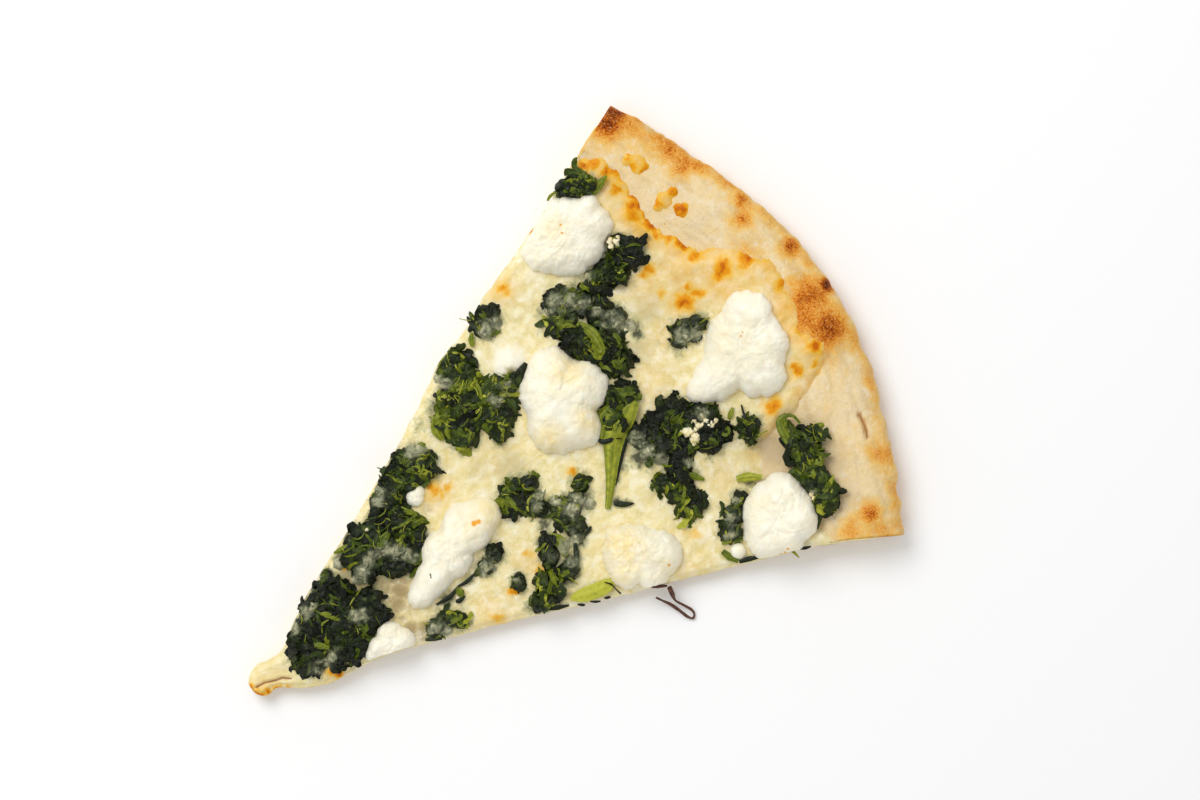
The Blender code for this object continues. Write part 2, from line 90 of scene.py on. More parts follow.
SLIT_DEPTH = 1.3
# How well baked the rim is: x, y, radius, share
RIM_SPOTS = (
    (188, 76, 6, 0.88), (184, 74, 6, 0.76), (194, 62, 4.5, 0.5), (194.5, 50, 4, 0.5), (203, 32, 3.5, 0.6),
    (200, 27, 4, 0.5), (207, 12, 4, 0.6), (209, -4, 3.0, 0.95), (202, -4, 8, 0.6), (201, -14, 8, 0.64),
    (197, -8, 6, 0.52), (193, -54.5, 5.5, 0.42), (178.5, -66.5, 4, 0.58), (178, -71, 7, 0.3),
    (183, -74, 4, 0.36), (196, 18, 5, 0.25), (186, 64, 6, 0.2), (206, -22, 5, 0.4), (171, -68, 5, 0.4),
)
# Dough that stayed damp and grey beside the cheese and the spinach: x, y, radius, share
DAMP_DOUGH = (
    (167, -35, 6, 1.0), (168, -44, 6, 0.9), (167, -27, 5, 1.0), (171, -27, 4, 0.7), (178, -46, 8, 0.7),
    (176, -58, 8, 0.4), (180, -33, 6, 0.5), (170, 35, 4, 0.7), (188, -12, 6, 0.3), (185, 33, 6, 0.2),
    (184, 68, 5, 0.2), (172, 58, 4, 0.5), (190, -40, 7, 0.25),
)
# Creases in the rim: the points on each one's way
RIM_CREASES = (
    ((186, -25), (190, -23.5), (196, -21.5)), ((196, -21.5), (193.5, -27), (190, -33), (188.5, -41)),
    ((198, -26), (196.5, -33), (193.5, -39)), ((205, 2), (206, 10), (204.5, 20)),
    ((188, -62), (186, -67), (182, -70)),
)
CREASE_DEPTH = 0.5
CREASE_HALF_WIDTH = 1.3
# The browned band along the outer edge, and how much wider it is towards the upper corner
EDGE_BAND_WIDTH = 3.4
EDGE_BAND_WIDER = 3.0
# Colours of the dough by how well it is baked
BAKED_TONES = (
    (0.0, (238, 218, 180)), (0.2, (237, 210, 156)), (0.36, (237, 191, 104)), (0.52, (228, 157, 58)),
    (0.68, (198, 108, 24)), (0.84, (130, 54, 8)), (1.0, (54, 22, 4)),
)
# Points of the grids over the slice, from tip to rim and from cut to cut, and of its smaller shapes
CRUST_GRID = (180, 156)
CHEESE_GRID = (280, 190)
DOLLOP_GRID = (200, 50)
SMALL_DOLLOP_GRID = (56, 16)
FILM_GRID = (38, 10)
CRUMB_GRID = (22, 12)
LEAF_GRID = (9, 5)
TUBE_GRID = (70, 12)
# Rings of points up the dough's side, where the cheese sheet ends inside the outer edge, and how the sheet
# turns down over a cut: shares of its height and how far it bulges there
SIDE_RINGS = 14
CHEESE_END = 8.0
CHEESE_TURN = ((0.7, 0.35), (0.35, 0.45), (0.0, 0.15), (-0.15, -0.6))
# Ribbons: grid, thickness, fold, tilt and ruffle, first of stems, of the pale leaf and of dark bits
STEM_RIBBON = ((30, 9), 0.5, 0.3, 0.0, 0.12)
PALE_RIBBON = ((34, 11), 0.5, 0.25, 0.0, 0.1)
BIT_RIBBON = ((24, 5), 0.4, 0.25, 0.0, 0.1)
THINNEST_RIBBON = 0.06
LEAF_THICKNESS = 0.16
LEAF_RUFFLE = 0.5
LEAF_TORN = 0.4

# The cheese
CHEESE_THICKNESS = 1.9
CHEESE_LIP = 0.35
CHEESE_DIVE = 0.3
CHEESE_FADE = 8.0
# Height of the cheese's face over the dough, where toppings lie on it
CHEESE_LEVEL = 2.4
CHEESE_REACH = (
    165, 164, 161, 159, 159, 162, 166, 180, 192, 197, 195, 197, 199, 198, 194, 184, 181, 177, 177, 178, 179,
    177, 171,
)
CHEESE_ISLANDS = (
    (184, 58.5, 3.6), (182.5, 61.5, 2.6), (185.5, 56.5, 1.8), (184, 45.5, 3.2), (187.5, 45.5, 2.4),
    (186.5, 40, 3.2), (181, 44.5, 2.0), (180.2, 39, 1.2),
)
CHEESE_LUMPS = (
    (118, 33.5, 5.5, 1.5), (131, 53, 9, 0.5), (161.5, -64, 3.5, 0.8), (137, -44, 8, 0.4), (180, 26, 7, 0.5),
    (160, 22, 7, 0.4), (76, 16, 4, 0.4), (110, -6, 7, 0.4), (70, -24, 5, 0.4), (128, -20, 6, 0.5),
)
# Melted ricotta that whitens the cheese: x, y, radius, share
CHEESE_WHITE = (
    (118, 33.5, 6, 1.0), (114, 4, 5, 0.5), (88, 5, 4, 0.6), (133, 46, 5, 0.3), (141, 57, 5, 0.4),
    (158, -63, 4, 0.5), (48, -17, 3, 0.6), (110, -44, 4, 0.5), (124, -46, 4, 0.4), (161, -14, 3, 0.4),
    (57, -4, 3, 0.4), (52, 22.5, 4, 0.4), (150, 60.5, 4.5, 0.9), (156, 63, 4, 0.9), (145, 57.5, 4.5, 0.7),
    (140, 51, 5, 0.5),
)
# Duller, greyer stretches of the cheese: x, y, radius, share
CHEESE_DULL = (
    (161, 22, 6, 0.9), (152, 14, 6, 0.7), (100, 8, 6, 0.9), (92, 13, 5, 0.5), (150, -29, 7, 0.5),
    (160, 32, 4, 0.8), (170, 38, 4, 0.5), (128, 44, 5, 0.3), (160, -30, 5, 0.5), (128, -6, 5, 0.5),
)
# The crease where the tip is folded over
TIP_FOLD = ((-1.0, -0.6), (2, -1.0), (5, -2.4), (7, -2.9), (9, -4.6))
TIP_FOLD_DEPTH = 0.9
# How far a browned spot fades out, in its radii, and how uneven its outline is
SPOT_REACH = 1.45
SPOT_WARP = 1.5
# Browned spots of the cheese: x, y, radius, share
CHEESE_SPOTS = (
    (171.2, 68, 1.6, 1.0), (173.5, 67, 1.6, 0.7), (175, 62, 1.4, 0.9), (177.3, 61.2, 1.5, 1.0),
    (178.2, 58.2, 1.4, 0.9), (174.5, 56.3, 1.2, 0.8), (177.5, 51.8, 1.7, 1.0), (176, 49, 2.0, 1.0),
    (174, 47, 1.8, 0.8), (177.3, 43.5, 1.9, 1.0), (176.5, 41.2, 1.5, 1.0), (182, 46, 1.3, 0.9),
    (187.6, 46, 1.8, 0.9), (183, 42, 1.1, 0.8), (186.3, 39.8, 2.1, 1.1), (182.5, 61.5, 1.4, 0.7),
    (182, 58.5, 1.2, 0.7), (185, 56, 1.3, 0.9), (180.2, 39, 1.1, 0.8), (176.3, 37.6, 1.1, 0.9),
    (178.6, 35.5, 1.2, 0.9), (180.7, 32.8, 1.2, 1.0), (181.3, 30.3, 1.2, 1.0), (181.8, 26.3, 1.3, 0.9),
    (166, 31, 1.0, 0.7), (168, 31.5, 1.2, 0.8), (171, 17.2, 2.1, 1.0), (174.7, 20, 1.1, 0.8),
    (176, 16.6, 1.2, 0.8), (167, 23.2, 1.2, 0.6), (184.5, 18, 1.7, 0.9), (187, 18.8, 2.1, 1.0),
    (191.5, 15.5, 1.3, 0.7), (194.3, 17, 1.8, 0.9), (197.5, 4.5, 1.6, 0.8), (194, -10.5, 1.3, 0.9),
    (195, -16.5, 1.6, 1.1), (186.5, -19, 1.3, 0.9), (192, -20.5, 0.9, 0.7), (174, -23.8, 1.9, 0.8),
    (129.3, 52.5, 1.6, 0.7), (77.3, 15.5, 1.6, 0.6), (78.6, 13.8, 1.1, 0.6), (81, 14.2, 1.0, 0.6),
    (78.8, -22.5, 1.0, 0.7), (88.6, -22.4, 1.3, 0.6), (114, -4, 1.1, 0.6), (89, -16.3, 0.8, 0.5),
    (133, -41, 1.4, 0.4), (70, -26.5, 1.2, 0.6), (21.5, -10.5, 1.5, 1.0), (-2.2, -0.6, 0.8, 1.0),
    (-1.4, -2.6, 1.0, 1.1), (0.8, -3.9, 0.8, 1.0), (4, -4.2, 0.7, 0.9), (7, -6.3, 0.7, 0.7),
    (41.3, 12.2, 0.6, 0.8), (147, 61, 0.8, 1.0),
)
# Broad golden stretches of the cheese: x, y, radius, share
CHEESE_GOLD = (
    (175, 60, 7, 0.9), (176, 47, 8, 1.0), (181, 31, 7, 0.9), (184, 17, 8, 0.9), (192, 14, 8, 0.7),
    (172, 18, 6, 0.7), (198, 3, 5, 0.8), (194, -16, 5, 0.9), (172, 67, 5, 0.7), (168, 28, 8, 0.45),
    (176, 26, 8, 0.7), (129, 53, 5, 0.5), (78, 15, 5, 0.5), (21, -9, 4, 0.5), (2, -3, 5, 0.4),
    (70, -25, 6, 0.4), (88, -20, 6, 0.3), (160, 12, 6, 0.3), (150, 3, 8, 0.25), (187, -20, 6, 0.5),
    (130, -42, 8, 0.15), (126, -50, 6, 0.2), (150, -32, 6, 0.2), (97, 14, 8, 0.1), (183, 59, 5, 1.0),
    (185, 43, 6, 1.0), (174, -24, 4, 0.7),
)
# Bare wet dough that shows between the toppings: x, y, radius, share
WET_DOUGH = (
    (41, 9.5, 3, 0.9), (44, 5.5, 4, 1.0), (47, 2, 4, 0.9), (52, 2.5, 3.5, 0.9), (51, -2.5, 4, 0.75),
    (48, -5, 4, 0.7), (54, -1, 3, 0.7), (46, -9, 3.5, 0.5), (50, -9.5, 3, 0.45), (47, -13.5, 3, 0.7),
    (50, -16, 4, 0.6), (72, 12, 3, 0.4), (68.5, 21.5, 2, 0.6),
)
# Spinach that shows dimly through the melted cheese: x, y, radius, share
VEILED_SPINACH = (
    (24, -6, 4, 0.8), (17, -7, 4, 0.8), (21, 8, 3, 0.8), (26, 10, 3, 1.0), (31, 12.5, 3, 1.1),
    (36, 14.5, 3, 1.1), (42, 16, 3, 0.8), (48, 19.5, 3, 0.9), (63.5, 24, 3, 0.9), (79, 29, 4, 0.9),
    (85, 34, 4, 0.6), (92, 36, 4, 0.8), (98, 39, 3, 0.9), (88, 30, 3, 0.7), (116, 27, 3, 0.8),
    (119, 45.5, 4, 1.0), (113, 45, 2, 0.6), (123.5, 45, 2, 0.7), (140, 39, 4.5, 1.1), (135, 40, 4, 0.6),
    (145, 33, 4, 0.9), (149, 33, 4, 0.9), (153, 27, 4, 0.9), (155, 20, 4, 0.8), (154, 17.5, 2.5, 1.0),
    (146, 40, 4, 0.7), (151, 41, 4, 0.6), (166, 9.5, 4.6, 1.0), (160.5, 5.5, 2.5, 0.6),
    (133, -13, 4.5, 1.0), (137, -13, 4, 1.0), (136, -6, 4, 1.1), (127, -12, 2.5, 0.7),
    (123.5, -14.5, 1.8, 0.7), (141, -46, 4, 0.9), (147.5, -42, 3.5, 0.9), (155, -38.5, 2.5, 0.8),
    (77, -12, 3.8, 1.0), (80, -8, 3, 0.8), (81.5, -21.5, 2.6, 1.0), (107, -12, 5, 1.0), (103, -9, 4, 1.0),
    (98, -12, 3.5, 0.9), (113, -12, 4, 0.8), (112, -15, 3, 0.8), (103, -22, 4, 0.9), (97, -19, 4, 0.9),
    (99, -25, 4, 0.8), (94, -29, 4, 0.9), (80, -29.5, 3, 0.8), (119.5, -19.8, 2.2, 1.0),
    (121.5, -21.5, 2, 0.8), (56, -18, 4.5, 1.0), (61, -13, 3, 0.9), (70, -12, 2.5, 0.7), (144, -27, 3, 0.6),
    (158, 41, 4, 0.5), (67, 6, 3, 0.5), (133, -24, 3, 0.6), (150, -25, 3, 0.6), (101, 3, 3.5, 0.7),
    (92, 9, 2, 0.25), (97, 9, 1.2, 0.3), (118, -2, 3, 0.3), (131, 36.5, 3, 0.4), (161, 32, 3, 0.5),
    (166, 26, 5, 0.25), (150, 12, 4, 0.35), (158, 13, 4, 0.35),
)

# Ricotta: centre of the dollop, its height, then its lobes as x, y, radius
RICOTTA = (
    ((154, 54), 6.5, ((154, 54, 12), (162, 52, 6.5), (147, 55, 7.5), (165.5, 57.5, 3.2), (157, 47.5, 5.5))),
    ((177, -4), 6.2, ((178, -4, 12), (184, 3, 7.5), (184, -8, 6), (177, -13, 8), (165, -7, 7), (159, -7, 4))),
    ((123, 16), 6.8, (
        (124, 18, 11), (127, 24.5, 7), (131, 15, 8.5), (118, 10, 8.5), (124, 5, 6.5), (114, 8, 4.5),
    )),
    ((70, -1.5), 5.6, ((79, 1, 8), (85.5, 1, 5), (69, -2, 8), (61, -5.5, 5.5), (55, -7.5, 4.3))),
    ((115, -36.5), 5.6, (
        (114, -34.5, 9), (120, -39, 7.5), (109, -38, 5), (113, -29, 4.5), (115, -44, 4.5), (123, -42, 4))),
    ((155, -52), 7.0, ((156.5, -51, 11), (150, -54.5, 7.2), (160, -56, 6), (161, -46, 6), (154, -60, 4))),
    ((39, -12.8), 3.6, ((41, -12, 4.4), (36, -12.5, 3.4), (43, -15, 4), (32.5, -13, 1.8), (38, -14.5, 3.4))),
    ((71.6, 17.4), 1.8, ((71.2, 17.3, 2.7), (73.5, 18, 1.6))),
    ((140.2, -52.8), 2.6, ((140.2, -52.8, 2.4),)),
)
# Yellower, melted stretches of the ricotta: x, y, radius, share
RICOTTA_YELLOW = (
    (131, 21, 6, 0.9), (127, 5.5, 4.5, 0.9), (114, 8, 5, 1.0), (87, 1, 6, 0.9), (80, 1, 5, 0.5),
    (113, -31, 7.5, 1.1), (109, -38, 5, 0.8), (151, 58, 5, 0.4), (174, 0, 7, 0.3), (153, -46, 4, 0.3),
    (120, -44, 4, 0.5), (70, 5, 4, 0.3),
)
# Small browned specks on the ricotta: x, y, radius
RICOTTA_SPECKS = (
    (81.2, 0.6, 0.9), (82.6, 0.3, 0.8), (178.5, -1, 0.4), (179.6, -0.4, 0.3), (150, -60.8, 0.5),
    (151.3, -61.2, 0.5), (152.6, -60.6, 0.5), (154.7, 57.5, 0.4), (153.6, 55.3, 0.4), (121, -43.8, 0.5),
)
# A dark fleck of leaf on it
RICOTTA_FLECK = ((61.6, -4.0, 0.45), (61.4, -4.8, 0.4))

# Spinach: centre of the heap, its height, how many leaf pieces show, then its lobes as x, y, radius
SPINACH = (
    ((28, 1), 3.4, 110, (
        (18, -0.5, 5.8), (21, 4.5, 4.5), (28, 3, 8.5), (29, 9, 4.5), (36, -1, 7), (35, 9.5, 5),
        (30, -6.5, 5.5),
        (24, -8.5, 3.2), (41, -3.5, 4), (43.5, 1, 3), (16.5, -4, 4))),
    ((58, 12), 3.2, 90, (
        (60, 14, 8), (51, 15, 5.5), (46, 14, 4.5), (47, 9, 4), (62, 20, 5), (66, 23, 3),
        (58, 5, 5.5), (64, 9, 5),
        (53, 5, 3.5))),
    ((75, 26), 2.6, 42, (
        (70, 26, 5.5), (72, 21.5, 2.5), (77, 24.5, 5.5), (80, 21.5, 3), (74, 29.5, 3.5), (81, 24, 2.5))),
    ((101, 29), 3.2, 100, (
        (103, 43, 5), (103.5, 38, 5), (100, 30, 8), (92, 30, 4), (94, 24, 5), (106, 25, 7), (110, 28.5, 4.5),
        (104, 19, 3.6), (102, 16.5, 1.6), (98, 33, 5), (116.5, 28.5, 2.6))),
    ((119.5, 48.5), 2.2, 14, ((119.5, 49.5, 3.8), (118, 46, 3.2), (122, 48, 2.8))),
    ((165.5, 65), 2.8, 30, ((165, 65, 4.8), (161.5, 65.5, 2.4), (168.5, 62, 2.8))),
    ((143, 22), 3.0, 70, (
        (138, 27, 4.6), (139.5, 22, 4.2), (144, 20, 5.5), (144, 14, 3.6), (147, 13.5, 2.4), (149, 26, 4),
        (147.5, 30, 3.4), (152.5, 25.5, 3))),
    ((143, 35.5), 2.6, 36, ((138, 33.5, 4.6), (141, 38.5, 4.2), (146, 35.5, 3.6), (150.5, 31.5, 3.2))),
    ((160, 38.5), 3.0, 46, (
        (154, 38, 4), (158, 38, 4.2), (160, 35, 3), (166, 38.5, 4.8), (164.5, 43, 2.8), (151.5, 37.5, 2.8))),
    ((167, 9.5), 2.2, 12, ((166, 10, 3.8), (171, 10, 2.6), (162.5, 8.5, 2.2))),
    ((138, 5), 2.4, 26, ((138, 6, 4.5), (133, 1, 4.2), (141, 5, 3.5))),
    ((147, -13), 3.2, 84, (
        (143, -9, 5.5), (149.5, -8, 5), (146, -15, 6), (154.5, -14.5, 5.2), (153, -20.5, 4.6), (157.5, -21, 3),
        (138, -12, 4.5), (142, -21, 3.6), (136, -7, 3.2))),
    ((138, -28), 2.8, 36, ((139, -23, 4), (134, -23, 3), (137.5, -28, 4), (136.5, -33.5, 4.2))),
    ((164.5, -25), 2.2, 14, ((164, -24.5, 3), (163, -27.5, 2), (167, -24.5, 1.8))),
    ((173, -45), 3.2, 60, (
        (174, -38, 5), (179.5, -37.5, 3), (173, -44, 4.2), (171, -49, 4), (170.5, -54.5, 4.6),
    )),
    ((146, -43), 2.0, 18, ((142, -46.5, 3.2), (145.5, -43, 3.2), (150.5, -40, 2.4))),
    ((98, -2), 2.4, 34, ((94, -1, 4.4), (97.5, 3, 2.6), (101.5, 0.5, 3), (99, -6, 3.5))),
    ((105.5, -14), 2.0, 20, ((105, -12, 4), (105, -18.5, 3.4), (109, -12, 3), (114, -8, 2.8))),
    ((91, -25), 2.4, 34, (
        (95.5, -16.5, 2.8), (93.5, -21, 3), (89, -27.5, 4), (83.5, -30.5, 3.4),
        (96, -27.5, 3.2), (88, -31, 3))),
    ((57, -18.5), 1.8, 12, ((53, -18, 3), (57.5, -18, 3), (60.5, -20.5, 2.6))),
    ((78.5, -11), 1.8, 10, ((80.5, -10.5, 2.8), (76, -12, 2.6))),
    ((81.6, -21.5), 1.4, 4, ((81, -22.5, 2), (82.3, -20.5, 1.8))),
)
# Stems and long leaves, by heap: tone, then the way as x, y, half width, lift over the cheese. A few dark ones
# also paint shade and shadow, as said beside them
STEMS = (
    (10, 0.78, (
        (141.5, 2.5, 2.2, 2.0), (136, 0, 3.6, 2.2), (130.5, -3, 3.4, 1.9), (126, -8, 2.3, 1.4),
        (121.5, -13.5, 1.5, 1.1),
        (116, -19.5, 0.8, 0.7))),
    (10, 0.66, ((126.5, -2, 0.8, 1.2), (130, 1, 2.6, 1.8), (135, 3.2, 2.6, 2.2), (139, 4.5, 1.2, 1.6))),
    (10, 0.5, ((137, 9, 1.0, 1.6), (139.5, 6, 2.0, 2.4), (142, 3.5, 1.8, 2.2), (144, 1.5, 0.8, 1.2))),
    # The next two dark ribbons, along the left and right edges of the large leaf above, are partly leaf and
    # partly painted shade: the shade in its fold and the shadow under its edge
    (10, 0.05, ((126.2, 0, 0.5, 0.8), (126.4, -2, 0.7, 1.6), (128.5, -3.2, 0.7, 2.0), (131, -3.6, 0.4, 1.6))),
    (10, 0.1, ((122, -15, 0.4, 0.3), (127, -10.5, 0.7, 0.5), (132, -6.5, 0.7, 0.6), (135, -5, 0.3, 0.6))),
    (14, 0.62, ((172, -39, 1.0, 2.4), (172, -33, 1.6, 2.6), (173.2, -28.8, 1.4, 2.0), (176, -28, 0.7, 1.2))),
    (14, 0.58, (
        (173.5, -31, 0.5, 2.0), (175.3, -28.4, 0.6, 2.0), (177.2, -29.6, 0.5, 1.6), (177.6, -32.6, 0.4, 1.2),
    )),
    (14, 0.66, ((179, -36.5, 0.8, 1.6), (181, -36.6, 1.4, 1.6), (183.2, -36.8, 0.5, 0.8))),
    (14, 0.3, ((168, -56, 1.2, 1.4), (165.5, -58.5, 1.2, 1.0), (163, -61, 0.5, 0.7))),
    (15, 0.85, ((152.5, -35, 0.9, 0.6), (155.5, -36.4, 1.4, 1.2), (159, -39, 0.7, 0.9))),
    (1, 0.64, ((65.3, 19, 0.5, 1.8), (66.5, 16, 0.9, 2.6), (69, 13, 0.6, 1.4))),
    (1, 0.6, ((60.2, 13.7, 0.3, 3.0), (64.5, 12.8, 0.5, 3.2), (69, 13, 0.3, 1.6))),
    (1, 0.68, ((59.5, 1.6, 0.7, 1.4), (63, 3.0, 1.5, 2.0), (68, 4.9, 0.5, 1.2))),
    (1, 0.56, ((53.5, 11.5, 0.8, 2.6), (56, 12.6, 1.4, 3.2), (58.8, 13.6, 0.8, 3.0))),
    (1, 0.66, ((41.8, 18.2, 0.4, 0.8), (44.5, 17.6, 0.9, 1.4), (47.6, 17.3, 0.6, 1.4))),
    (2, 0.66, ((75.6, 28.5, 0.5, 1.2), (76.2, 25, 1.2, 2.0), (78.5, 22.5, 0.7, 2.0))),
    (3, 0.6, ((101, 15.3, 0.6, 0.7), (103, 18, 1.0, 1.8), (107, 19.5, 0.9, 2.0))),
    (3, 0.72, ((88.2, 26.5, 0.8, 0.8), (88.5, 30, 1.6, 1.2), (90.5, 33.5, 0.9, 1.2))),
    (3, 0.68, ((89.5, 27.8, 0.2, 1.2), (93, 29, 0.4, 2.2), (97, 30.5, 0.3, 2.6))),
    (3, 0.7, ((106.8, 35.5, 0.3, 1.8), (105.8, 32, 0.6, 2.6), (104.5, 28, 0.3, 3.0))),
    (3, 0.78, ((100, 44.6, 0.7, 1.2), (103, 45, 1.4, 2.0), (106, 44.3, 1.6, 2.0), (108, 41.8, 0.6, 1.2))),
    (3, 0.12, ((115, 26.8, 0.6, 0.8), (118, 28.6, 1.4, 1.4), (122, 30.4, 0.6, 0.8))),
    (4, 0.7, ((112, 43.8, 0.6, 0.5), (112.8, 45.6, 0.9, 0.8), (114.2, 47.4, 0.4, 0.8))),
    (6, 0.68, (
        (141.8, 17.6, 0.5, 2.4), (143.2, 21.5, 1.2, 3.2), (143.4, 26, 1.6, 3.0), (141.5, 31, 0.8, 1.6),
    )),
    (6, 0.58, ((147.5, 17, 0.6, 1.8), (148, 20, 1.4, 2.6), (147.8, 23, 0.7, 2.2))),
    (7, 0.6, ((134.5, 31, 0.7, 1.4), (137, 33.5, 1.6, 2.4), (139, 35.8, 0.7, 2.0))),
    (12, 0.7, ((131.6, -23, 0.7, 0.9), (134, -24, 1.4, 1.6), (136.5, -25.5, 0.7, 1.8))),
    (12, 0.62, ((141, -25, 0.6, 1.0), (142.6, -26.6, 1.1, 1.0), (144.6, -29.4, 0.4, 0.6))),
    (12, 0.6, ((132.2, -33.6, 0.3, 0.8), (136, -30.5, 0.6, 2.6), (140, -26, 0.4, 2.2))),
    (11, 0.6, ((147.5, -20, 0.5, 1.2), (152, -20.2, 1.2, 2.2), (158.5, -19.6, 0.6, 1.0))),
    (11, 0.52, ((149, -21.2, 0.6, 0.8), (154, -22.6, 1.3, 1.4), (159, -21.6, 0.5, 0.8))),
    (11, 0.62, ((153.5, -11.8, 0.6, 2.0), (156.5, -11.6, 1.2, 1.8), (159.8, -12.4, 0.4, 0.8))),
    (11, 0.55, ((143, -16.5, 0.2, 3.0), (147, -12, 0.4, 3.2), (152, -9, 0.2, 2.8))),
    (11, 0.75, ((161.3, -19.2, 0.5, 0.4), (162.8, -18, 0.8, 0.7), (164.3, -17, 0.3, 0.5))),
    (13, 0.14, ((166.8, -17.8, 0.2, 0.6), (165.8, -20.5, 0.4, 1.0), (165, -23.5, 0.7, 1.8))),
    (13, 0.75, ((160.8, -28.9, 0.3, 0.5), (164.5, -28.3, 0.35, 0.9), (168.6, -28.6, 0.2, 0.5))),
    (5, 0.66, ((167.8, 59.6, 0.8, 1.2), (171, 60.4, 1.3, 1.3), (174.4, 61.3, 0.4, 0.8))),
    (5, 0.55, ((162.2, 63.2, 0.6, 2.2), (164, 63.8, 1.2, 2.9), (166, 62.6, 0.6, 2.4))),
    (15, 0.6, ((136.4, -50, 0.8, 0.8), (137, -52.5, 1.1, 1.1), (138.5, -55.3, 0.6, 0.8))),
    (15, 0.1, ((138.5, -55.6, 0.5, 0.6), (141.5, -56.6, 0.8, 0.8), (144, -58, 0.3, 0.5))),
    (0, 0.64, ((20, 0, 0.6, 2.4), (22, -1.5, 1.0, 2.8), (24, -4, 0.5, 2.4))),
    (0, 0.66, ((27.8, 6, 0.3, 3.0), (29.5, 4.5, 0.8, 3.4), (31.2, 1, 0.4, 3.0))),
    (0, 0.66, ((25, 1, 0.2, 2.8), (26.5, 3, 0.4, 3.2), (29, 3, 0.2, 3.2))),
    (0, 0.62, ((25, -5.2, 0.5, 1.6), (26.5, -7, 1.0, 1.6), (28.2, -9, 0.5, 1.2))),
    (0, 0.52, ((31, -6.5, 0.9, 2.2), (33.5, -8.5, 1.6, 1.8), (36.5, -10, 0.8, 1.0))),
    (0, 0.06, ((26.5, -4, 1.4, 2.4), (28.5, -8.5, 1.5, 1.8), (29.8, -12.5, 0.5, 0.9))),
    (19, 0.82, ((56, -19.8, 0.7, 0.8), (58.8, -20, 1.6, 1.0), (61.5, -23.5, 0.6, 0.7))),
    (19, 0.12, ((55, -17.2, 0.5, 1.2), (57.5, -16.4, 0.9, 1.6), (59.7, -18.2, 0.6, 1.2))),
    (19, 0.2, ((48.6, -19, 0.4, 0.6), (51, -20.2, 0.8, 0.8), (53, -21.6, 0.4, 0.6))),
    (18, 0.72, ((97.5, -15.5, 0.7, 1.0), (98.6, -19, 1.8, 1.4), (97.5, -23.5, 0.8, 1.0))),
    (18, 0.4, ((95, -16, 0.7, 1.2), (93, -19.5, 1.2, 1.7), (91, -23.5, 0.6, 1.6))),
    (18, 0.15, ((102, -22, 0.5, 0.8), (100.4, -25, 0.9, 1.0), (98, -28.5, 0.5, 1.0))),
    (8, 0.6, ((149.5, 38.5, 0.6, 1.0), (153, 38.8, 1.2, 2.2), (156.6, 38.6, 0.8, 2.2))),
    (20, 0.62, ((65.5, -12, 0.6, 0.9), (65.5, -13.6, 1.2, 1.0), (65.2, -15, 0.6, 0.7))),
    (20, 0.1, ((62.8, -15, 0.5, 0.5), (64, -15.6, 0.7, 0.7), (66, -15.2, 0.4, 0.5))),
    # The next two dark ribbons, along the lower edge of ricotta dollop 4, are partly leaf and partly painted
    # shadow under the dollop's edge
    (20, 0.1, ((57.5, -12.4, 0.3, 0.4), (62, -12.9, 0.7, 0.6), (66, -12, 0.4, 0.5))),
    (20, 0.1, ((66, -11.8, 0.3, 0.4), (69, -12.2, 0.6, 0.6), (72.5, -11.6, 0.3, 0.4))),
    (17, 0.74, ((102, -14, 0.5, 0.8), (104, -10, 0.8, 1.0), (106, -7, 0.4, 0.8))),
    (16, 0.66, ((93.6, 0, 0.4, 2.2), (94, -2, 0.7, 2.6), (93.8, -4, 0.4, 2.0))),
    (16, 0.76, ((95.3, -5.2, 0.7, 1.2), (98, -4.8, 1.4, 1.6), (101, -3.2, 0.7, 1.2))),
    (21, 0.1, ((79.3, -24.3, 0.2, 0.5), (81.5, -22, 1.0, 1.2), (83.2, -19.6, 0.3, 0.5))),
    (18, 0.1, ((84, -33.4, 0.4, 0.8), (86.5, -34.6, 0.7, 0.8), (89.6, -36, 0.3, 0.4))),
    (10, 0.2, (
        (118.6, -19.4, 0.5, 0.4), (120, -20.6, 0.9, 0.6), (121.6, -21.8, 0.7, 0.6), (123.4, -22.8, 0.2, 0.3),
    )),
    (14, 0.8, ((152.8, -60.5, 0.3, 1.4), (153.4, -62.6, 0.45, 0.8), (153.8, -65, 0.15, 0.4))),
    (14, 0.05, ((155.6, -63, 0.3, 0.5), (157, -63.7, 0.5, 0.6), (158.6, -64.3, 0.2, 0.4))),
    (5, 0.7, ((155.8, 65.8, 0.3, 0.9), (157.4, 66.4, 0.5, 1.2), (159.4, 66.4, 0.3, 1.4))),
    (5, 0.95, ((151.6, 62.6, 0.2, 0.6), (152.6, 63.2, 0.3, 0.8), (153.6, 63.8, 0.15, 0.6))),
    (4, 0.8, ((113.6, 53, 0.1, 0.8), (114.8, 51.6, 0.15, 1.2), (116.2, 50.4, 0.12, 1.2))),
    (2, 0.6, ((68.8, 28, 0.3, 1.2), (68.2, 30, 0.3, 1.0), (67.4, 31.4, 0.1, 0.6))),
)
# The pale leaf on the lower cut: its way as above
PALE_LEAF = (
    (91.2, -34.6, 0.7, 0.5), (94.5, -35.9, 2.0, 1.3), (99, -37.3, 2.3, 1.5), (102.6, -37.8, 2.0, 1.2),
    (106, -37.5, 0.3, 0.7),
)
PALE_TONE = 1.0
# A thin dark fibre that lies over the pale leaf, and dark bits on the cut beside it: their ways as above
DARK_BITS = (
    (
        (102.3, -36.6, 0.15, 1.9), (103.6, -38.4, 0.22, 1.6), (103.8, -40.4, 0.18, 0.9), (104.2, -42.4, 0.3, 0.5),
    ),
    ((91.8, -37.3, 0.2, 0.5), (92.8, -38.2, 0.45, 0.6), (93.6, -38.8, 0.2, 0.4)),
    ((95.4, -38.8, 0.2, 0.5), (96.6, -39.8, 0.4, 0.5), (98, -40.6, 0.2, 0.3)),
    ((99.4, -40.5, 0.3, 0.5), (100.4, -41, 0.45, 0.5), (101.2, -41.3, 0.2, 0.4)),
)
DARK_TONE = 0.0
